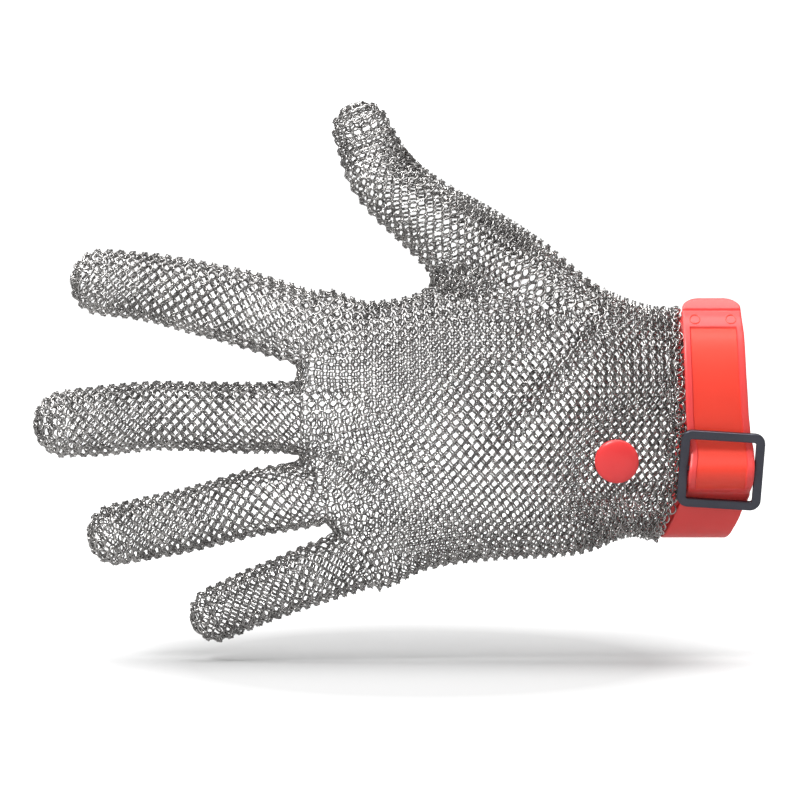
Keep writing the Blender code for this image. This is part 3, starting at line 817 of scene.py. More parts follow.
    def relax(self, points: np.ndarray, pinned: np.ndarray,
              pairs: list[tuple[int, int, float]]) -> np.ndarray:
        """Even the rings out over the surface.

        Args:
            points: starting centres.
            pinned: rings that stay where they are.
            pairs: linked rings and their rest distances.

        Returns:
            The relaxed centres, on the surface.
        """
        a = np.array([p[0] for p in pairs])
        b = np.array([p[1] for p in pairs])
        rest = np.array([p[2] for p in pairs])
        many = np.bincount(a, minlength=len(points)) + np.bincount(b, minlength=len(points))
        many = np.maximum(many, 1)[:, None]
        free = (~pinned).astype(float)[:, None]
        form = self.surface.main_distance
        points = self.surface.settle(points, form, 4)
        normal = unit(self.surface.slope(points, form))
        for step in range(self.rounds):
            gap = points[b] - points[a]
            size = np.maximum(np.linalg.norm(gap, axis=1), 1e-6)
            pull = gap * (0.5 * (size - rest) / size)[:, None]
            move = np.zeros_like(points)
            for c in range(3):
                move[:, c] = (np.bincount(a, pull[:, c], len(points))
                              - np.bincount(b, pull[:, c], len(points)))
            move = self.gain * move / many
            move -= normal * (move * normal).sum(1, keepdims=True)
            points = points + move * free
            if step % self.settle_every == self.settle_every - 1:
                points = self.surface.settle(points, form, 1)
                normal = unit(self.surface.slope(points, form))
        return self.surface.settle(points, form, 2)

    def row_direction(self, centres: np.ndarray) -> np.ndarray:
        """One pitch along each ring's row, toward the fingertip."""
        ahead = np.zeros_like(centres)
        for (name, row, two), node in self._nodes.items():
            after = self._nodes.get((name, row, two + 2), node)
            before = self._nodes.get((name, row, two - 2), node)
            steps = (after != node) + (before != node)
            ahead[node] = (centres[after] - centres[before]) / max(steps, 1)
        return ahead

    def tip_rings(self, name: str, around: int) -> tuple[np.ndarray, np.ndarray, np.ndarray]:
        """Rings that close a fingertip: centres, directions and parities."""
        limb = self.surface.limbs[name]
        radius = float(limb.half[-1].mean())
        step = PITCH[-1][1] / 2
        points, ahead, parity = [], [], []
        for k in range(1, int(radius * math.pi / 2 / step) + 1):
            swing = k * step / radius
            many = max(1, round(around / 2 * math.cos(swing)))
            turn = (np.arange(many) + 0.5 * (k % 2)) * 2 * math.pi / many
            rise = np.full(many, swing / (math.pi / 2))
            here = limb.tip_point(rise, turn)
            points.append(here)
            step_on = limb.tip_point(rise + 0.05, turn) - here
            ahead.append(unit(step_on) * PITCH[-1][1])
            parity.append(np.full(many, k % 2))
        return np.concatenate(points), np.concatenate(ahead), np.concatenate(parity)

    def hem_rings(self, centres: np.ndarray,
                  ahead: np.ndarray) -> tuple[np.ndarray, np.ndarray, np.ndarray]:
        """Loose rings bunched between the first rings of neighbouring rows."""
        first = np.array([self._hem[k] for k in range(HAND_ROWS)])
        points = (centres[first] + centres[np.roll(first, -1)]) / 2
        return points, ahead[first], np.arange(HAND_ROWS) % 2

    def web_rings(self, centres: np.ndarray) -> tuple[np.ndarray, ...]:
        """Rings that close the webs between the limbs, wherever the rows leave a gap.

        Args:
            centres: the rings already laid.

        Returns:
            Centres, directions, parities, areas and ring numbers of the new ones.
        """
        surface, found = self.surface, []
        for low, high in GAPES:
            axes = [np.arange(a, b, self.web_search) for a, b in zip(low, high)]
            trial = np.stack(np.meshgrid(*axes, indexing="ij"), axis=-1).reshape(-1, 3)
            trial = trial[np.abs(surface.distance(trial)) < self.web_search]
            trial = surface.settle(trial, surface.distance, 4)
            trial = trial[((trial > low) & (trial < high)).all(1)]
            laid = centres[((centres > low - RING_REACH) & (centres < high + RING_REACH)).all(1)]
            room = np.array([np.linalg.norm(laid - t, axis=1).min() for t in trial])
            while room.max() > self.web_room:
                new = trial[room.argmax()]
                found.append(new)
                room = np.minimum(room, np.linalg.norm(trial - new, axis=1))
        points = np.array(found)
        normal = unit(surface.slope(points, surface.distance))
        ahead = unit(np.array([0.0, 1.0, 0.0]) - normal * normal[:, 1:2]) * PITCH[-1][1]
        area = np.where(points[:, 1] < 0, "back", "palm")
        LOG.info("%d web rings", len(points))
        return (points, ahead, np.arange(len(points)) % 2, area,
                np.full(len(points), FAR_FROM_HEM))

    def thumb_rings(self) -> tuple[np.ndarray, np.ndarray, np.ndarray]:
        """Rings of the thumb's tube, root to tip edge."""
        limb = self.surface.limbs["thumb_stall"]
        middle, width, squeeze = self.thumb_bunch
        fine = np.linspace(self.thumb_start, limb.length, self.thumb_stops)
        pitches = PITCH[-1][1] * (1 - squeeze * np.exp(-((fine - middle) / width) ** 2))
        count = np.append(0.0, np.cumsum(np.diff(fine) / pitches[1:]))
        many = round(count[-1])
        count *= many / count[-1]
        points, ahead, parity = [], [], []
        for row in range(THUMB_ROWS):
            odd = row % 2
            run = np.interp(np.arange(many) + 0.5 * odd + 0.25, count, fine)
            turn = np.full(many, 2 * math.pi * row / THUMB_ROWS)
            here = limb.point(run, turn)
            pitch = np.interp(run, fine, pitches)[:, None]
            points.append(here)
            ahead.append(unit(limb.point(run + 1.0, turn) - here) * pitch)
            parity.append(np.full(many, odd))
        return np.concatenate(points), np.concatenate(ahead), np.concatenate(parity)

    def build(self) -> None:
        """Lay, relax and orient every ring."""
        surface = self.surface
        self.build_main()
        points = np.array(self._points)
        main = surface.crowd(self.relax(points, np.array(self._pinned), self.links()))
        ahead = self.row_direction(main)
        groups = [(main, ahead, np.array([i[2] for i in self._info]),
                   np.array([i[0] for i in self._info]), np.array([i[1] for i in self._info]))]
        keep = [surface.thumb_distance(main) > -SEAM_OVERLAP]
        extra = self.hem_rings(main, ahead)
        side = np.where(extra[0][:, 1] < 0, "back", "palm")
        groups.append((*extra, side, np.full(HAND_ROWS, -1.0)))
        keep.append(np.ones(HAND_ROWS, bool))
        for name in FINGER_ORDER:
            back, outer, inner, _ = ROWS[name]
            tip = self.tip_rings(name, 2 * back + outer + inner)
            many = len(tip[0])
            groups.append((*tip, np.full(many, name), np.full(many, FAR_FROM_HEM)))
            keep.append(np.ones(many, bool))
        for part in (self.thumb_rings(), self.tip_rings("thumb_stall", THUMB_ROWS)):
            many = len(part[0])
            groups.append((*part, np.full(many, "thumb_stall"), np.full(many, FAR_FROM_HEM)))
            keep.append(surface.main_distance(part[0]) > -SEAM_OVERLAP)
        kept = np.concatenate(keep)
        centres, ahead, parity, area, ring = (np.concatenate([g[i] for g in groups])[kept]
                                              for i in range(5))
        centres = surface.settle(centres, surface.distance, 5)
        laid = (centres, ahead, parity, area, ring)
        centres, ahead, parity, area, ring = (
            np.concatenate(both) for both in zip(laid, self.web_rings(centres)))
        normal = unit(surface.slope(centres, surface.distance, self.even_normals))
        loose = self.hem_loose * np.exp(-np.maximum(ring, 0.0) / self.hem_rings_loose)
        rng = np.random.default_rng(self.seed)
        centres = centres + loose[:, None] * rng.normal(size=centres.shape)
        self.pitch = np.linalg.norm(ahead, axis=1)
        ahead = unit(ahead - normal * (ahead * normal).sum(1, keepdims=True))
        self.centres, self.forward, self.normal = centres, ahead, normal
        self.parity, self.area, self.ring = parity, area, ring
        LOG.info("%d rings laid", len(centres))


# --------------------------------------------------------------------- finishes

class Slot(Enum):
    """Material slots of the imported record."""

    MAIL = "mail"
    STRAP = "strap"
    BUCKLE = "buckle"
    STUD = "stud"


def group_io(tree: bpy.types.NodeTree, ins: list[tuple], outs: list[tuple]) -> tuple:
    """Make a group's sockets and its input and output nodes.

    Args:
        tree: the node group.
        ins: name, socket type and default of each input.
        outs: name and socket type of each output.

    Returns:
        The group input node and the group output node.
    """
    for name, kind, value in ins:
        socket = tree.interface.new_socket(name, in_out="INPUT", socket_type=kind)
        socket.default_value = value
    for name, kind in outs:
        tree.interface.new_socket(name, in_out="OUTPUT", socket_type=kind)
    return tree.nodes.new("NodeGroupInput"), tree.nodes.new("NodeGroupOutput")


def rgb(red: int, green: int, blue: int) -> tuple[float, float, float, float]:
    """Screen colour of 0 to 255 a channel, as linear light."""
    values = [c / 255 for c in (red, green, blue)]
    linear = [c / 12.92 if c <= 0.04045 else ((c + 0.055) / 1.055) ** 2.4 for c in values]
    return (*linear, 1.0)


def noise(tree: bpy.types.NodeTree, coords: bpy.types.NodeSocket, scale: float,
          detail: float = 3.0, roughness: float = 0.55) -> bpy.types.NodeSocket:
    """Noise on given coordinates, its value out."""
    node = tree.nodes.new("ShaderNodeTexNoise")
    node.inputs["Scale"].default_value = scale
    node.inputs["Detail"].default_value = detail
    node.inputs["Roughness"].default_value = roughness
    tree.links.new(coords, node.inputs["Vector"])
    return node.outputs["Fac"]


def spread(tree: bpy.types.NodeTree, value: bpy.types.NodeSocket, low: float, high: float,
           to_low: float = 0.0, to_high: float = 1.0) -> bpy.types.NodeSocket:
    """Map a value from one range to another, clamped."""
    node = tree.nodes.new("ShaderNodeMapRange")
    for name, number in (("From Min", low), ("From Max", high),
                         ("To Min", to_low), ("To Max", to_high)):
        node.inputs[name].default_value = number
    tree.links.new(value, node.inputs["Value"])
    return node.outputs["Result"]


def mixed(tree: bpy.types.NodeTree, factor: bpy.types.NodeSocket | float, first: object,
          second: object) -> bpy.types.NodeSocket:
    """Blend two colours, each a socket or a plain colour."""
    node = tree.nodes.new("ShaderNodeMix")
    node.data_type = "RGBA"
    for socket, value in zip((node.inputs[0], node.inputs[6], node.inputs[7]),
                             (factor, first, second)):
        if isinstance(value, bpy.types.NodeSocket):
            tree.links.new(value, socket)
        else:
            socket.default_value = value
    return node.outputs[2]


def metal_group() -> bpy.types.NodeTree:
    """Worn steel: tone, roughness and fine unevenness, shared by the rings and the buckle."""
    name = "worn_steel"
    if name in bpy.data.node_groups:
        return bpy.data.node_groups[name]
    tree = bpy.data.node_groups.new(name, "ShaderNodeTree")
    enter, leave = group_io(
        tree,
        [("Vector", "NodeSocketVector", (0, 0, 0)), ("Bright", "NodeSocketColor", (1, 1, 1, 1)),
         ("Dull", "NodeSocketColor", (0.3, 0.3, 0.3, 1)), ("Shade", "NodeSocketFloat", 0.5),
         ("Grain", "NodeSocketFloat", 900.0), ("Smooth", "NodeSocketFloat", 0.25),
         ("Rough", "NodeSocketFloat", 0.45)],
        [("Color", "NodeSocketColor"), ("Roughness", "NodeSocketFloat"),
         ("Height", "NodeSocketFloat")])
    fine = tree.nodes.new("ShaderNodeTexNoise")
    fine.inputs["Detail"].default_value = 3.0
    tree.links.new(enter.outputs["Vector"], fine.inputs["Vector"])
    tree.links.new(enter.outputs["Grain"], fine.inputs["Scale"])
    broad = noise(tree, enter.outputs["Vector"], 45.0, 2.0)
    both = tree.nodes.new("ShaderNodeMath")
    both.operation = "ADD"
    tree.links.new(broad, both.inputs[0])
    tree.links.new(enter.outputs["Shade"], both.inputs[1])
    tone = spread(tree, both.outputs[0], 0.55, 1.45)
    tree.links.new(mixed(tree, tone, enter.outputs["Dull"], enter.outputs["Bright"]),
                   leave.inputs["Color"])
    rough = tree.nodes.new("ShaderNodeMapRange")
    tree.links.new(fine.outputs["Fac"], rough.inputs["Value"])
    rough.inputs["From Min"].default_value = 0.35
    rough.inputs["From Max"].default_value = 0.65
    tree.links.new(enter.outputs["Smooth"], rough.inputs["To Min"])
    tree.links.new(enter.outputs["Rough"], rough.inputs["To Max"])
    tree.links.new(rough.outputs["Result"], leave.inputs["Roughness"])
    tree.links.new(fine.outputs["Fac"], leave.inputs["Height"])
    return tree


def moulded_group() -> bpy.types.NodeTree:
    """Moulded polymer: faint clouding and a fine matt grain, shared by strap and stud."""
    name = "moulded_polymer"
    if name in bpy.data.node_groups:
        return bpy.data.node_groups[name]
    tree = bpy.data.node_groups.new(name, "ShaderNodeTree")
    enter, leave = group_io(
        tree,
        [("Vector", "NodeSocketVector", (0, 0, 0)), ("Main", "NodeSocketColor", (1, 0, 0, 1)),
         ("Deep", "NodeSocketColor", (0.5, 0, 0, 1)), ("Grain", "NodeSocketFloat", 1500.0),
         ("Smooth", "NodeSocketFloat", 0.4), ("Rough", "NodeSocketFloat", 0.55)],
        [("Color", "NodeSocketColor"), ("Roughness", "NodeSocketFloat"),
         ("Height", "NodeSocketFloat")])
    cloud = spread(tree, noise(tree, enter.outputs["Vector"], 60.0, 3.0), 0.42, 0.75, 0.0, 0.35)
    fine = tree.nodes.new("ShaderNodeTexNoise")
    fine.inputs["Detail"].default_value = 2.0
    tree.links.new(enter.outputs["Vector"], fine.inputs["Vector"])
    tree.links.new(enter.outputs["Grain"], fine.inputs["Scale"])
    tree.links.new(mixed(tree, cloud, enter.outputs["Main"], enter.outputs["Deep"]),
                   leave.inputs["Color"])
    rough = tree.nodes.new("ShaderNodeMapRange")
    tree.links.new(fine.outputs["Fac"], rough.inputs["Value"])
    tree.links.new(enter.outputs["Smooth"], rough.inputs["To Min"])
    tree.links.new(enter.outputs["Rough"], rough.inputs["To Max"])
    tree.links.new(rough.outputs["Result"], leave.inputs["Roughness"])
    tree.links.new(fine.outputs["Fac"], leave.inputs["Height"])
    return tree


def start_material(name: str) -> tuple:
    """A new material's tree, its Principled shader and its object coordinates."""
    material = bpy.data.materials.new(name)
    material.use_nodes = True
    tree = material.node_tree
    shader = tree.nodes["Principled BSDF"]
    coords = tree.nodes.new("ShaderNodeTexCoord").outputs["Object"]
    return material, tree, shader, coords


def add_group(tree: bpy.types.NodeTree, group: bpy.types.NodeTree,
              values: dict[str, object]) -> bpy.types.Node:
    """Place a group node; each value is a plain one or a socket to link."""
    node = tree.nodes.new("ShaderNodeGroup")
    node.node_tree = group
    for name, value in values.items():
        if isinstance(value, bpy.types.NodeSocket):
            tree.links.new(value, node.inputs[name])
        else:
            node.inputs[name].default_value = value
    return node


def add_bump(tree: bpy.types.NodeTree, shader: bpy.types.Node, height: bpy.types.NodeSocket,
             strength: float, distance: float) -> None:
    """Feed a height into the shader's normal."""
    bump = tree.nodes.new("ShaderNodeBump")
    bump.inputs["Strength"].default_value = strength
    bump.inputs["Distance"].default_value = distance
    tree.links.new(height, bump.inputs["Height"])
    tree.links.new(bump.outputs["Normal"], shader.inputs["Normal"])


@dataclass(frozen=True)
class SteelFinish:
    """Drawn or polished steel.

    Attributes:
        name: material name.
        bright: colour of the cleanest metal.
        dull: colour of the dullest metal.
        smooth: lowest roughness.
        rough: highest roughness.
        grain: scale of the fine unevenness, per metre.
        bump: how strongly it shows.
        by_ring: whether each ring has a shade of its own.
    """

    name: str
    bright: tuple[float, float, float, float]
    dull: tuple[float, float, float, float]
    smooth: float
    rough: float
    grain: float
    bump: float
    by_ring: bool = False

    def make(self) -> bpy.types.Material:
        """Build the material."""
        material, tree, shader, coords = start_material(self.name)
        values = {"Vector": coords, "Bright": self.bright, "Dull": self.dull,
                  "Grain": self.grain, "Smooth": self.smooth, "Rough": self.rough}
        if self.by_ring:
            shade = tree.nodes.new("ShaderNodeAttribute")
            shade.attribute_name = "ring_shade"
            values["Shade"] = shade.outputs["Fac"]
        node = add_group(tree, metal_group(), values)
        shader.inputs["Metallic"].default_value = 1.0
        tree.links.new(node.outputs["Color"], shader.inputs["Base Color"])
        tree.links.new(node.outputs["Roughness"], shader.inputs["Roughness"])
        add_bump(tree, shader, node.outputs["Height"], self.bump, 0.00005)
        return material


@dataclass(frozen=True)
class PolymerFinish:
    """Solid-coloured moulded polymer.

    Attributes:
        name: material name.
        main: its colour.
        deep: the slightly deeper colour of its clouding.
        smooth: lowest roughness.
        rough: highest roughness.
        grain: scale of the matt grain, per metre.
        coat: weight of the glossy skin.
        border: colour of raised borders, where the piece has any.
    """

    name: str
    main: tuple[float, float, float, float]
    deep: tuple[float, float, float, float]
    smooth: float
    rough: float
    grain: float
    coat: float
    border: tuple[float, float, float, float] | None = None

    def make(self) -> bpy.types.Material:
        """Build the material."""
        material, tree, shader, coords = start_material(self.name)
        values = {"Vector": coords, "Main": self.main, "Deep": self.deep,
                  "Grain": self.grain, "Smooth": self.smooth, "Rough": self.rough}
        if self.border:
            raised = tree.nodes.new("ShaderNodeAttribute")
            raised.attribute_name = RAISED
            for name in ("Main", "Deep"):
                values[name] = mixed(tree, raised.outputs["Fac"], values[name], self.border)
        node = add_group(tree, moulded_group(), values)
        shader.inputs["Coat Weight"].default_value = self.coat
        shader.inputs["Coat Roughness"].default_value = 0.25
        shader.inputs["Subsurface Weight"].default_value = 0.15
        shader.inputs["Subsurface Radius"].default_value = (0.002, 0.0007, 0.0005)
        shader.inputs["Subsurface Scale"].default_value = 1.0
        tree.links.new(node.outputs["Color"], shader.inputs["Base Color"])
        tree.links.new(node.outputs["Roughness"], shader.inputs["Roughness"])
        add_bump(tree, shader, node.outputs["Height"], 0.12, 0.00005)
        return material


RING_STEEL = SteelFinish("ring_steel", rgb(208, 206, 204), rgb(142, 140, 139), 0.13, 0.28,
                         1800.0, 0.15, by_ring=True)
BUCKLE_STEEL = SteelFinish("buckle_steel", rgb(96, 97, 106), rgb(70, 71, 80), 0.3, 0.46,
                           1400.0, 0.25)
STRAP_POLYMER = PolymerFinish("strap_polymer", rgb(247, 66, 45), rgb(237, 56, 37), 0.36, 0.52,
                              1500.0, 0.2, border=rgb(240, 72, 70))
STUD_POLYMER = PolymerFinish("stud_polymer", rgb(240, 58, 60), rgb(220, 42, 44), 0.3, 0.42,
                             1500.0, 0.4)


# ------------------------------------------------------------------ mesh helpers

def finish_piece(name: str, bm: bmesh.types.BMesh, material: bpy.types.Material, slot: Slot,
                 nodes: tuple[str, ...], sharp: float = 40.0) -> bpy.types.Object:
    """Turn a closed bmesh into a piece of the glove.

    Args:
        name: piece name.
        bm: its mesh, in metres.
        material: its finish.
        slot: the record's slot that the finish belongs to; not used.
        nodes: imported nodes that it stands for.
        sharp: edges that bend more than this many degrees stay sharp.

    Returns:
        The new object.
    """
    bmesh.ops.recalc_face_normals(bm, faces=bm.faces[:])
    mesh = bpy.data.meshes.new(name)
    bm.to_mesh(mesh)
    bm.free()
    mesh.shade_smooth()
    mesh.set_sharp_from_angle(angle=math.radians(sharp))
    mesh.materials.append(material)
    return enlist(name, mesh, slot, nodes)


def enlist(name: str, mesh: bpy.types.Mesh, slot: Slot,
           nodes: tuple[str, ...]) -> bpy.types.Object:
    """Put a mesh in the scene as a piece that rides on the glove's one body."""
    piece = bpy.data.objects.new(name, mesh)
    bpy.context.scene.collection.objects.link(piece)
    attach(piece, BODY)
    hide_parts(*nodes)
    LOG.info("%s: %d faces", name, len(mesh.polygons))
    return piece


def fresh_verts(result: list) -> list[bmesh.types.BMVert]:
    """Only the vertices of an operator's result."""
    return [g for g in result if isinstance(g, bmesh.types.BMVert)]


# ------------------------------------------------------------------ the ring mail

@dataclass
class RingCloth:
    """The linked rings, joined into one mesh for each panel.

    Attributes:
        ring_radius: middle radius of a ring, mm.
        wire_radius: half the wire's thickness, mm.
        ring_sides: corners round a ring.
        wire_sides: corners round the wire.
        lean: how far a ring is tipped along its row where the row is stretched, degrees.
        most_lean: the same where the rings are crowded.
        wobble: random turning of each ring, degrees.
        hem_wobble: how much more the rings at the hem are turned, degrees.
        seed: seed of the turning and of the rings' shades.
        panels: name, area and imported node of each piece.
    """

    lattice: RingLattice
    ring_radius: float = 1.72
    wire_radius: float = 0.29
    ring_sides: int = 12
    wire_sides: int = 4
    lean: float = 25.0
    most_lean: float = 48.0
    wobble: float = 3.5
    hem_wobble: float = 15.0
    seed: int = 11
    panels: tuple[tuple[str, str, str], ...] = (
        ("back_rings", "back", "hand_mail"),
        ("palm_rings", "palm", "hand_mail"),
        ("index_rings", "index_stall", "index_stall"),
        ("middle_rings", "middle_stall", "middle_stall"),
        ("ring_finger_rings", "ring_stall", "ring_stall"),
        ("little_rings", "little_stall", "little_stall"),
        ("thumb_rings", "thumb_stall", "thumb_stall"),
    )

    def ring_shape(self) -> tuple[np.ndarray, np.ndarray]:
        """Vertices, in mm, and faces of one ring about the Z axis."""
        bm = bmesh.new()
        across = Matrix.Translation((self.ring_radius, 0, 0)) @ Matrix.Rotation(
            math.radians(90), 4, "X")
        turn = Matrix.Rotation(math.pi / self.wire_sides, 4, "Z")
        made = bmesh.ops.create_circle(bm, segments=self.wire_sides, radius=self.wire_radius,
                                       matrix=across @ turn)
        edges = list({e for v in made["verts"] for e in v.link_edges})
        bmesh.ops.spin(bm, geom=made["verts"] + edges, cent=(0, 0, 0), axis=(0, 0, 1),
                       angle=math.tau, steps=self.ring_sides, use_merge=True)
        bmesh.ops.recalc_face_normals(bm, faces=bm.faces[:])
        bm.verts.index_update()
        verts = np.array([v.co[:] for v in bm.verts])
        faces = np.array([[v.index for v in f.verts] for f in bm.faces])
        bm.free()
        return verts, faces

    def frames(self) -> np.ndarray:
        """Three axes of every ring: across its row, in its plane, and through it."""
        rng = np.random.default_rng(self.seed)
        lattice = self.lattice
        side = np.cross(lattice.normal, lattice.forward)
        sign = np.where(lattice.parity == 0, 1.0, -1.0)[:, None]
        flat = math.cos(math.radians(self.lean)) * lattice.pitch / PITCH[-1][1]
        flat = np.clip(flat, math.cos(math.radians(self.most_lean)),
                       math.cos(math.radians(self.lean)))[:, None]
        axis = flat * lattice.normal + np.sqrt(1 - flat**2) * sign * lattice.forward
        loose = self.wobble + self.hem_wobble * np.exp(-lattice.ring / lattice.hem_rings_loose)
        turn = np.radians(loose)[:, None] * rng.normal(size=(len(axis), 2))
        axis = unit(axis + turn[:, :1] * side + turn[:, 1:] * lattice.forward)
        second = unit(np.cross(axis, side))
        return np.stack([np.cross(second, axis), second, axis], axis=1)

    def panel(self, name: str, area: str, node: str, frames: np.ndarray,
              shape: tuple[np.ndarray, np.ndarray], material: bpy.types.Material) -> None:
        """Join the rings of one area into a piece."""
        rng = np.random.default_rng(self.seed + len(name))
        chosen = self.lattice.area == area
        verts, faces = shape
        places = np.einsum("vk,nkc->nvc", verts, frames[chosen])
        places += self.lattice.centres[chosen][:, None]
        count, each = places.shape[:2]
        LOG.info("%s: %d rings", name, count)
        all_faces = (faces[None] + (np.arange(count) * each)[:, None, None]).reshape(-1, 4)
        mesh = bpy.data.meshes.new(name)
        mesh.from_pydata((places.reshape(-1, 3) * MM).tolist(), [], all_faces.tolist())
        mesh.shade_smooth()
        shade = mesh.attributes.new("ring_shade", "FLOAT", "POINT")
        shade.data.foreach_set("value", np.repeat(rng.random(count), each).astype(np.float32))
        mesh.materials.append(material)
        enlist(name, mesh, Slot.MAIL, (node,))

    def build(self) -> None:
        """Make every panel."""
        material = RING_STEEL.make()
        frames, shape = self.frames(), self.ring_shape()
        for name, area, node in self.panels:
            self.panel(name, area, node, frames, shape, material)


# ------------------------------------------------------------ strap, buckle, stud

def roll_tube(stations: int, around: int, place: Callable[[int, int], Vector],
              loop: bool = False,
              tint: Callable[[int, int], float] | None = None) -> bmesh.types.BMesh:
    """Roll a grid into a closed tube.

    Args:
        stations: steps along the tube.
        around: corners round its section.
        place: where each station's corner goes, in mm.
        loop: whether the tube's ends meet instead of being capped.
        tint: how raised each corner is, 1 on a border and 0 in a recess.

    Returns:
        The tube's bmesh, in mm.
    """
    bm = bmesh.new()
    bmesh.ops.create_grid(bm, x_segments=stations, y_segments=around, size=1.0)
    layer = bm.verts.layers.float.new(RAISED)
    for v in bm.verts:
        i = round((v.co.x + 1) / 2 * stations)
        k = round((v.co.y + 1) / 2 * around)
        v.co = place(i % stations if loop else i, k % around)
        v[layer] = tint(i, k % around) if tint else 1.0
    bmesh.ops.remove_doubles(bm, verts=bm.verts, dist=0.0005)
    if not loop:
        rims = [e for e in bm.edges if e.is_boundary]
        bmesh.ops.holes_fill(bm, edges=rims, sides=0)
    return bm


def join_into(bm: bmesh.types.BMesh, other: bmesh.types.BMesh) -> None:
    """Add another mesh's shells to a bmesh and free it."""
    bmesh.ops.recalc_face_normals(other, faces=other.faces[:])
    spare = bpy.data.meshes.new("spare")
    other.to_mesh(spare)
    other.free()
    bm.from_mesh(spare)
    bpy.data.meshes.remove(spare)


@dataclass
class Strap:
    """One moulded strap: belt with a recessed panel, lip and bar eye.

    Attributes:
        loop: its course.
        thick: belt thickness, mm.
        border: width of the raised border, mm.
        recess: depth of the panel between the borders, mm.
        tip_corner: size of the free end's rounded corners, across and along the strap.
        groove_from_tip: distance of the groove from the tip.
        groove: its half width and depth.
        path: angle from the top, lift over the loop, half width and sideways shift.
        panel_ends: angles between which the panel is sunk.
        lip_reach: how far the lip goes on under the mail's edge.
        lip_under: how far it goes under the belt.
        lip_thick: its thickness.
        lip_drop: how far it lies inside the belt's centre line.
        eye_radius: radius of the eye round the buckle's bar.
        eye_length: its length.
        mark_radius: radius of the two moulded rings near the tip.
        mark_angle: where they are along the path.
        mark_wire: how far they stand up.
        marks: their distances from the free end's near edge.
        lip_steps: steps round the lip.
        lift_ease: angle over which the path's bends are eased.
    """

    loop: WristLoop
    thick: float = 2.0
    border: float = 2.5
    recess: float = 0.5
    tip_corner: tuple[float, float] = (5.0, 3.8)
    groove_from_tip: float = 5.0
    groove: tuple[float, float] = (0.4, 0.42)
    path: tuple[tuple[float, float, float, float], ...] = (
        (106.5, 2.95, 9.9, 0), (101, 0.9, 9.9, -0.5), (95, 0, 9.85, -1.05), (66, 0, 9.7, -1.6),
        (39, 0, 9.2, -1.7), (15, 0, 9, -1.9), (-20, 0, 9, -1.9), (-100, 0, 9.9, -1),
        (-170, 0, 10.9, 0), (-225, 0, 10.9, 0), (-231, 0, 10.8, 0.6), (-236, -0.1, 10.6, 1.1),
        (-239, 0.4, 10.4, 1), (-244.5, 4.85, 10.45, 0.7), (-248.5, 6.45, 10.7, 0.3),
        (-252, 6.85, 10.75, 0.1), (-255, 6.35, 10.7, 0.1), (-259.5, 4, 10.45, 0.1),
        (-263, 2.4, 10.4, -0.1), (-268, 2.3, 10.4, -1), (-275, 2.3, 10.3, -1.45),
        (-294, 2.3, 10.1, -1.6), (-306, 2.3, 10.1, -1.65), (-321, 2.4, 10, -1.6),
        (-333, 3.2, 9.8, -1.65), (-341, 4.9, 9.6, -1.6), (-346.4, 6.1, 9.3, -1.65))
    panel_ends: tuple[float, float] = (-243.0, -325.0)
    lip_reach: float = 0.1
    lip_under: float = 2.5
    lip_thick: float = 1.2
    lip_drop: float = 1.4
    eye_radius: float = 1.9
    eye_length: float = 20.8
    mark_radius: float = 1.65
    mark_angle: float = -331.0
    mark_wire: float = 0.2
    marks: tuple[float, float] = (4.1, 15.9)
    lip_steps: int = 120
    lift_ease: float = 1.3

    def profile(self, half: float, panel: float, groove: float) -> list[tuple[float, float]]:
        """Section of the belt: across and up, in mm, top side first."""
        deep = self.thick / 2
        top = deep - groove
        floor = top - self.recess * panel
        inner = half - self.border
        sink = top / deep
        side = [(half, 0.3 * deep * sink), (half - 0.1, 0.7 * deep * sink),
                (half - 0.5, 0.96 * top), (half - 0.9, top), (inner + 0.3, top),
                (inner + 0.1, (top + floor) / 2), (inner - 0.1, floor), (inner * 0.5, floor)]
        under = [(half - 0.45, -deep), (half - 0.1, -0.7 * deep)]
        upper = [(-x, z) for x, z in side] + [(0.0, floor)] + side[::-1]
        return upper + under[::-1] + [(0.0, -deep)] + [(-x, z) for x, z in under]

    def stations(self) -> tuple[np.ndarray, ...]:
        """Angle, lift, half width, shift and distance from the tip at fine steps."""
        table = np.array(self.path)
        near_tip, step, reach = -330.0, 0.25, 12
        coarse = np.arange(table[0, 0], near_tip, -1.0)
        angle = np.concatenate([coarse, np.linspace(near_tip, table[-1, 0], 60)])
        fine = np.arange(table[-1, 0] - 6, table[0, 0] + 6, step)
        lift = np.interp(-fine, -table[:, 0], table[:, 1])
        kernel = np.exp(-0.5 * (np.arange(-reach, reach + 1) * step / self.lift_ease) ** 2)
        kernel /= kernel.sum()
        smooth = np.convolve(np.pad(lift, reach, mode="edge"), kernel, "valid")
        rise = np.interp(angle, fine, smooth)
        half, shift = (np.interp(-angle, -table[:, 0], table[:, c]) for c in (2, 3))
        points = np.array([self.loop.at(a)[0][:] for a in angle])
        outs = np.array([self.loop.at(a)[1][:] for a in angle])
        steps = np.linalg.norm(np.diff(points + outs * rise[:, None], axis=0), axis=1)
        left = np.concatenate([np.cumsum(steps[::-1])[::-1], [0.0]])
        return angle, rise, half, shift, left

    def belt(self) -> bmesh.types.BMesh:
        """The belt from its buried end round the wrist to its free tip."""
        angle, rise, half, shift, left = self.stations()
        wide, deep = self.tip_corner
        share = np.clip(1 - left / deep, 0, 1)
        half = half - wide * (1 - np.sqrt(np.maximum(1 - share**2, 0.02)))
        ease = 1.2
        first, last = self.panel_ends
        panel = (smooth_step((first - angle) / ease + 0.5)
                 * smooth_step((angle - last) / ease + 0.5))
        width, depth = self.groove
        groove = depth * np.exp(-((left - self.groove_from_tip) / width) ** 4)
        rows = [self.profile(*row) for row in zip(half, panel, groove)]
        lefts = self.loop.left(angle)

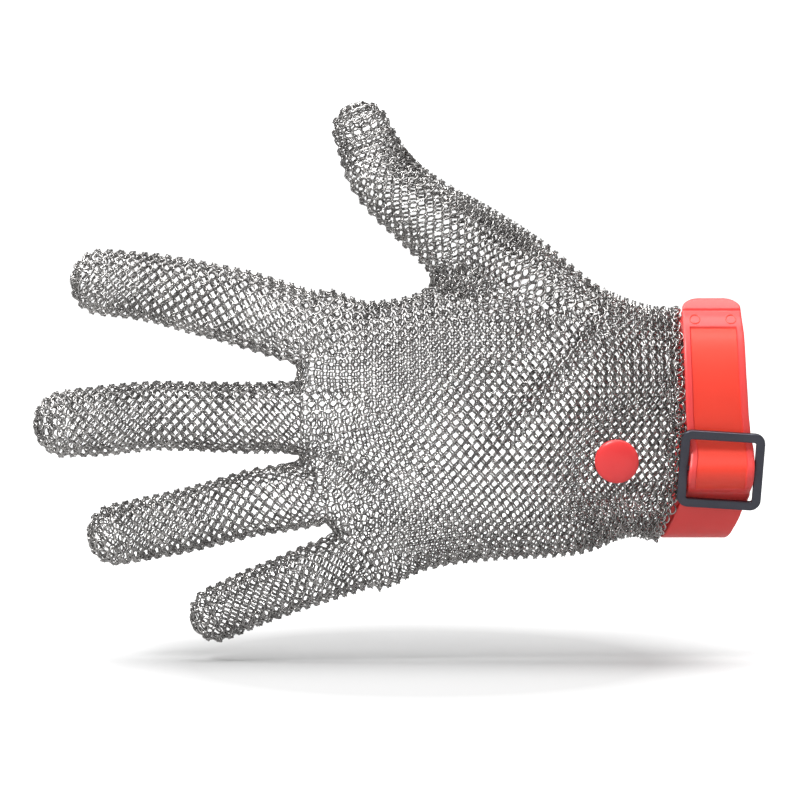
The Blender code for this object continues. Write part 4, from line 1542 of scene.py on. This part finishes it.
        def place(i: int, k: int) -> Vector:
            """Corner k of the belt's section at station i."""
            base, out = self.loop.at(float(angle[i]))
            across, up = rows[i][k]
            point = base + out * (float(rise[i]) + up)
            point.x = float(lefts[i]) + self.loop.width / 2 + float(shift[i]) + across
            return point

        def raised(i: int, k: int) -> float:
            """Whether that corner is on a raised border, 1 or 0."""
            across, up = rows[i][k]
            return 1.0 - float(panel[i]) * (up > 0 and abs(across) < half[i] - self.border)

        return roll_tube(len(angle) - 1, len(rows[0]), place, tint=raised)

    def lip(self) -> bmesh.types.BMesh:
        """Thin hoop that runs from the belt under the edge of the mail."""
        corners = ((False, 1), (True, 1), (True, -1), (False, -1))

        def place(i: int, k: int) -> Vector:
            """Corner k of the lip's section at step i."""
            angle = 360.0 * i / self.lip_steps
            base, out = self.loop.at(angle)
            under_belt, side = corners[k]
            point = base + out * (side * self.lip_thick / 2 - self.lip_drop)
            reach = (self.loop.left(angle) + self.lip_under if under_belt
                     else self.loop.hem(angle) - self.lip_reach)
            point.x = float(reach[0])
            return point

        return roll_tube(self.lip_steps, len(corners), place, loop=True)

    def mark(self, from_edge: float) -> bmesh.types.BMesh:
        """Faint moulded ring that follows the free end's surface."""
        angle, rise, half, shift, left = self.stations()
        at = float(np.interp(-self.mark_angle, -angle, left))
        bm = bmesh.new()
        across = Matrix.Translation((self.mark_radius, 0, 0)) @ Matrix.Rotation(
            math.radians(90), 4, "X")
        made = bmesh.ops.create_circle(bm, segments=8, radius=self.mark_wire,
                                       matrix=across)
        edges = list({e for v in made["verts"] for e in v.link_edges})
        bmesh.ops.spin(bm, geom=made["verts"] + edges, cent=(0, 0, 0), axis=(0, 0, 1),
                       angle=math.tau, steps=32, use_merge=True)
        for v in bm.verts:
            here, lift, reach, side = (float(np.interp(at + v.co.y, left[::-1], c[::-1]))
                                       for c in (angle, rise, half, shift))
            base, out = self.loop.at(here)
            edge = float(self.loop.left(here)[0]) + self.loop.width / 2 + side - reach
            point = base + out * (lift + self.thick / 2 + v.co.z)
            point.x = edge + from_edge + v.co.x
            v.co = point
        return bm

    def eye(self, frame: Matrix) -> bmesh.types.BMesh:
        """Moulded eye round the buckle's hidden bar."""
        bm = bmesh.new()
        bmesh.ops.create_cone(bm, cap_ends=True, segments=32, radius1=self.eye_radius,
                              radius2=self.eye_radius, depth=self.eye_length,
                              matrix=frame @ Matrix.Rotation(math.radians(90), 4, "Y"))
        rims = [e for e in bm.edges if len(e.link_faces) == 2
                and max(len(f.verts) for f in e.link_faces) > 4]
        bmesh.ops.bevel(bm, geom=rims, offset=0.3, segments=2, profile=0.5, affect="EDGES",
                        material=-1)
        return bm

    def build(self, buckle_frame: Matrix) -> None:
        """Make the strap as one piece."""
        bm = bmesh.new()
        for shell in (self.belt(), self.lip(), self.eye(buckle_frame),
                      *(self.mark(m) for m in self.marks)):
            join_into(bm, shell)
        bmesh.ops.scale(bm, vec=(MM, MM, MM), verts=bm.verts)
        finish_piece("wrist_strap", bm, STRAP_POLYMER.make(), Slot.STRAP, ("strap",), 32.0)


@dataclass
class Buckle:
    """Flat slide frame with rounded corners and a hidden crossbar.

    Attributes:
        loop: the strap's course, which carries it.
        angle: where it lies round the loop.
        lift: its height over the loop.
        tilt: lean of its lower edge away from the wrist, degrees.
        turn: turning in its own plane, degrees.
        width: across the strap, mm.
        height: along the strap.
        bar: width of the frame's bars.
        thick: the plate's thickness.
        corner: radius of its outer corners.
        edge: rounding of its edges.
        crossbar: radius of the hidden bar.
    """

    loop: WristLoop
    angle: float = 107.5
    lift: float = 3.4
    tilt: float = 7.7
    turn: float = -3.7
    width: float = 27.6
    height: float = 26.6
    bar: float = 3.0
    thick: float = 1.8
    corner: float = 3.6
    edge: float = 0.35
    crossbar: float = 0.9

    @property
    def frame(self) -> Matrix:
        """Its own frame: X across the strap, Y up along it, Z outward."""
        return (self.loop.frame(self.angle, self.lift)
                @ Matrix.Rotation(math.radians(self.turn), 4, "Z")
                @ Matrix.Rotation(math.radians(self.tilt), 4, "X"))

    def build(self) -> None:
        """Cut the frame from one plate and round its edges."""
        bm = bmesh.new()
        bmesh.ops.create_grid(bm, x_segments=1, y_segments=1, size=0.5)
        bmesh.ops.scale(bm, vec=(self.width, self.height, 1), verts=bm.verts)
        bmesh.ops.bevel(bm, geom=bm.verts[:], offset=self.corner, segments=10, profile=0.5,
                        affect="VERTICES", material=-1)
        middle = bm.faces[:]
        bmesh.ops.inset_region(bm, faces=middle, thickness=self.bar, use_even_offset=True,
                               use_boundary=True)
        bmesh.ops.delete(bm, geom=middle, context="FACES")
        top = bmesh.ops.extrude_face_region(bm, geom=bm.faces[:])["geom"]
        bmesh.ops.translate(bm, verts=bm.verts, vec=(0, 0, -self.thick / 2))
        bmesh.ops.translate(bm, verts=fresh_verts(top), vec=(0, 0, self.thick))
        bmesh.ops.recalc_face_normals(bm, faces=bm.faces[:])
        rims = [e for e in bm.edges if e.calc_face_angle(0.0) > math.radians(60)]
        bmesh.ops.bevel(bm, geom=rims, offset=self.edge, segments=3, profile=0.5,
                        affect="EDGES", material=-1)
        bar = bmesh.new()
        bmesh.ops.create_cone(bar, cap_ends=True, segments=24, radius1=self.crossbar,
                              radius2=self.crossbar, depth=self.width - self.bar,
                              matrix=Matrix.Rotation(math.radians(90), 4, "Y"))
        join_into(bm, bar)
        bmesh.ops.transform(bm, matrix=Matrix.Scale(MM, 4) @ self.frame, verts=bm.verts)
        finish_piece("slide_buckle", bm, BUCKLE_STEEL.make(), Slot.BUCKLE, ("buckle",), 35.0)


@dataclass
class Stud:
    """Domed stud through the back of the mail.

    Attributes:
        surface: the mail's surface.
        x: its place along the hand.
        z: its place across the hand.
        cap_radius: radius of the domed cap.
        cap_height: height of the dome over the mail.
        rim: height of the cap's edge.
        dome: how far the dome turns down, degrees.
        post_radius: radius of the post.
        disc_radius: radius of the disc behind the mail.
        disc_thick: its thickness.
        gap: clearance between the cap and the mail.
        under: depth of the disc's top under the mail's face.
    """

    surface: GloveSurface
    x: float = -18.6
    z: float = -10.5
    cap_radius: float = 7.25
    cap_height: float = 2.3
    rim: float = 0.75
    dome: float = 82.0
    post_radius: float = 2.2
    disc_radius: float = 5.0
    disc_thick: float = 1.2
    gap: float = 0.3
    under: float = 2.9

    def frame(self) -> Matrix:
        """Its own frame on the mail's outer face, Z outward."""
        def skin(x: float, z: float) -> np.ndarray:
            """Point of the mail's surface on the back at x, z."""
            point = np.array([[x, -21.0, z]])
            return self.surface.settle(point, self.surface.palm.distance, 6)[0]
        base = skin(self.x, self.z)
        out = unit(self.surface.slope(base[None], self.surface.palm.distance))[0]
        centre = Vector(base + out * self.surface.inset)
        return Matrix.Translation(centre) @ Vector(out).to_track_quat(
            "Z", "Y").to_matrix().to_4x4()

    def profile(self) -> list[tuple[float, float]]:
        """Radius and height down the stud, from the middle of its cap."""
        rim, steps = self.rim, 14
        points = [(0.0, self.gap + self.cap_height)]
        for i in range(1, steps + 1):
            swing = math.radians(self.dome * i / steps)
            points.append(((self.cap_radius - 0.05) * math.sin(swing),
                           self.gap + rim + (self.cap_height - rim) * math.cos(swing)))
        points += [(self.cap_radius - 0.02, self.gap + rim), (self.cap_radius, self.gap + 0.55),
                   (self.cap_radius, self.gap + 0.3), (self.cap_radius - 0.15, self.gap + 0.08),
                   (self.cap_radius - 0.4, self.gap), (self.post_radius, self.gap),
                   (self.post_radius, -self.under), (self.disc_radius - 0.2, -self.under),
                   (self.disc_radius, -self.under - 0.2),
                   (self.disc_radius, -self.under - self.disc_thick + 0.2),
                   (self.disc_radius - 0.2, -self.under - self.disc_thick),
                   (0.0, -self.under - self.disc_thick)]
        return points

    def build(self) -> None:
        """Turn the stud as one piece."""
        bm = bmesh.new()
        verts = [bm.verts.new((r, 0.0, z)) for r, z in self.profile()]
        edges = [bm.edges.new(pair) for pair in zip(verts, verts[1:])]
        bmesh.ops.spin(bm, geom=verts + edges, cent=(0, 0, 0), axis=(0, 0, 1),
                       angle=math.tau, steps=72, use_merge=True)
        bmesh.ops.remove_doubles(bm, verts=bm.verts, dist=0.0005)
        bmesh.ops.transform(bm, matrix=Matrix.Scale(MM, 4) @ self.frame(), verts=bm.verts)
        finish_piece("stud_cap", bm, STUD_POLYMER.make(), Slot.STUD, ("stud",), 35.0)


# ------------------------------------------------------------------------ studio

@dataclass
class Studio:
    """Pale floor, soft lights and the camera.

    Attributes:
        floor: height of the floor.
        view_width: width that the camera sees at the glove.
        aim: the point that it looks at.
        elevation: the camera's angle above the floor, degrees.
        lens: its focal length, mm.
        sensor: its sensor's width, mm.
        floor_radius: radius of the round floor.
        floor_sides: corners of its outline.
        floor_tone: its grey.
        middle: the point round which its painted glow whitens it; the floor near the glove gets
            less, a painted shade oval on top of the real shadow.
        fade: distances over which it does.
        oval: how much sooner it does along the glove, which stretches that painted shade into an
            oval.
        painted_glow: painted whiteness added at those distances, a glow seen by the camera only;
            the floor is no lamp.
        air_light: strength of the light from all round.
        air_white: strength added to it where the camera looks past the floor.
        lamps: name, place, size and power of each soft light.
    """

    floor: float = -0.079
    view_width: float = 0.264
    aim: tuple[float, float, float] = (-0.0898, -0.004, 0.0083)
    elevation: float = 3.8
    lens: float = 400.0
    sensor: float = 36.0
    floor_radius: float = 4.0
    floor_sides: int = 96
    floor_tone: float = 0.42
    middle: tuple[float, float] = (-0.083, 0.0)
    fade: tuple[float, float] = (0.11, 0.24)
    oval: float = 1.45
    painted_glow: tuple[float, float] = (0.2, 1.0)
    air_light: float = 0.28
    air_white: float = 1.2
    lamps: tuple[tuple, ...] = (
        ("key_light", (-0.6, -0.7, 0.85), (0.32, 0.32), 11.0),
        ("fill_light", (0.8, -0.8, 0.3), (0.4, 0.5), 0.6),
        ("top_light", (-0.1, 0.0, 1.1), (0.9, 1.3), 17.0))

    def ground(self) -> None:
        """Round pale floor with a painted glow, seen by the camera only, that whitens it with
        distance and leaves a painted shade oval round the glove.
        """
        bm = bmesh.new()
        bmesh.ops.create_circle(bm, cap_ends=True, segments=self.floor_sides,
                                radius=self.floor_radius,
                                matrix=Matrix.Translation((0, 0, self.floor)))
        mesh = bpy.data.meshes.new("studio_floor")
        bm.to_mesh(mesh)
        bm.free()
        material, tree, shader, coords = start_material("studio_white")
        shader.inputs["Base Color"].default_value = (*[self.floor_tone] * 3, 1)
        shader.inputs["Roughness"].default_value = 0.9
        shader.inputs["Specular IOR Level"].default_value = 0.1
        shader.inputs["Emission Color"].default_value = (1, 1, 1, 1)
        offset = tree.nodes.new("ShaderNodeVectorMath")
        offset.operation = "SUBTRACT"
        offset.inputs[1].default_value = (*self.middle, self.floor)
        tree.links.new(coords, offset.inputs[0])
        squeezed = tree.nodes.new("ShaderNodeVectorMath")
        squeezed.operation = "MULTIPLY"
        squeezed.inputs[1].default_value = (self.oval, 1.0, 1.0)
        tree.links.new(offset.outputs[0], squeezed.inputs[0])
        distance = tree.nodes.new("ShaderNodeVectorMath")
        distance.operation = "LENGTH"
        tree.links.new(squeezed.outputs[0], distance.inputs[0])
        # Painted glow: emission that only the camera sees, weakest in an oval round the glove,
        # so the floor there keeps a painted shade oval besides the real shadow
        painted_glow = spread(tree, distance.outputs["Value"], *self.fade, *self.painted_glow)
        path = tree.nodes.new("ShaderNodeLightPath")
        seen = tree.nodes.new("ShaderNodeMath")
        seen.operation = "MULTIPLY"
        tree.links.new(painted_glow, seen.inputs[0])
        tree.links.new(path.outputs["Is Camera Ray"], seen.inputs[1])
        tree.links.new(seen.outputs[0], shader.inputs["Emission Strength"])
        mesh.materials.append(material)
        floor = bpy.data.objects.new("studio_floor", mesh)
        bpy.context.scene.collection.objects.link(floor)
        floor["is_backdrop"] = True

    def air(self) -> None:
        """Soft world light, white where the camera looks past the floor."""
        world = bpy.data.worlds.new("studio_air")
        world.use_nodes = True
        tree = world.node_tree
        path = tree.nodes.new("ShaderNodeLightPath")
        power = tree.nodes.new("ShaderNodeMath")
        power.operation = "MULTIPLY_ADD"
        power.inputs[1].default_value = self.air_white
        power.inputs[2].default_value = self.air_light
        tree.links.new(path.outputs["Is Camera Ray"], power.inputs[0])
        backdrop = tree.nodes["Background"]
        backdrop.inputs["Color"].default_value = (1, 1, 1, 1)
        tree.links.new(power.outputs[0], backdrop.inputs["Strength"])
        bpy.context.scene.world = world

    def lamp(self, name: str, place: tuple[float, float, float],
             size: tuple[float, float], watts: float) -> None:
        """One soft rectangular light aimed where the camera looks."""
        data = bpy.data.lights.new(name, "AREA")
        data.shape = "RECTANGLE"
        data.size, data.size_y = size
        data.energy = watts
        lamp = bpy.data.objects.new(name, data)
        lamp.location = place
        aim = Vector(self.aim) - Vector(place)
        lamp.rotation_euler = aim.to_track_quat("-Z", "Y").to_euler()
        bpy.context.scene.collection.objects.link(lamp)

    def build(self) -> None:
        """Set everything up."""
        self.ground()
        self.air()
        for name, place, size, watts in self.lamps:
            self.lamp(name, place, size, watts)
        data = bpy.data.cameras.new("camera")
        data.lens, data.sensor_width = self.lens, self.sensor
        data.clip_start, data.clip_end = 0.05, 10.0
        camera = bpy.data.objects.new("camera", data)
        rise = math.radians(self.elevation)
        away = Vector((0, -math.cos(rise), math.sin(rise)))
        reach = self.view_width * self.lens / self.sensor
        camera.location = Vector(self.aim) + away * reach
        camera.rotation_euler = (-away).to_track_quat("-Z", "Y").to_euler()
        bpy.context.scene.collection.objects.link(camera)
        bpy.context.scene.camera = camera
        bpy.context.scene.view_settings.view_transform = "Standard"


def corners(box: tuple[Vector, Vector]) -> list[list[float]]:
    """A box as plain lists of numbers."""
    return [[float(c) for c in corner] for corner in box]


def main() -> None:
    """Build the glove's looks and its studio."""
    logging.basicConfig(level=logging.INFO, format="%(name)s: %(message)s")
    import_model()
    packed_box = corners(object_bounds())
    surface = GloveSurface()
    loop = WristLoop()
    lattice = RingLattice(surface, loop)
    lattice.build()
    RingCloth(lattice).build()
    buckle = Buckle(loop)
    Strap(loop).build(buckle.frame)
    buckle.build()
    Stud(surface).build()
    Studio().build()
    {"cad": packed_box, "visual": corners(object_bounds())}


if __name__ == "__main__":
    main()
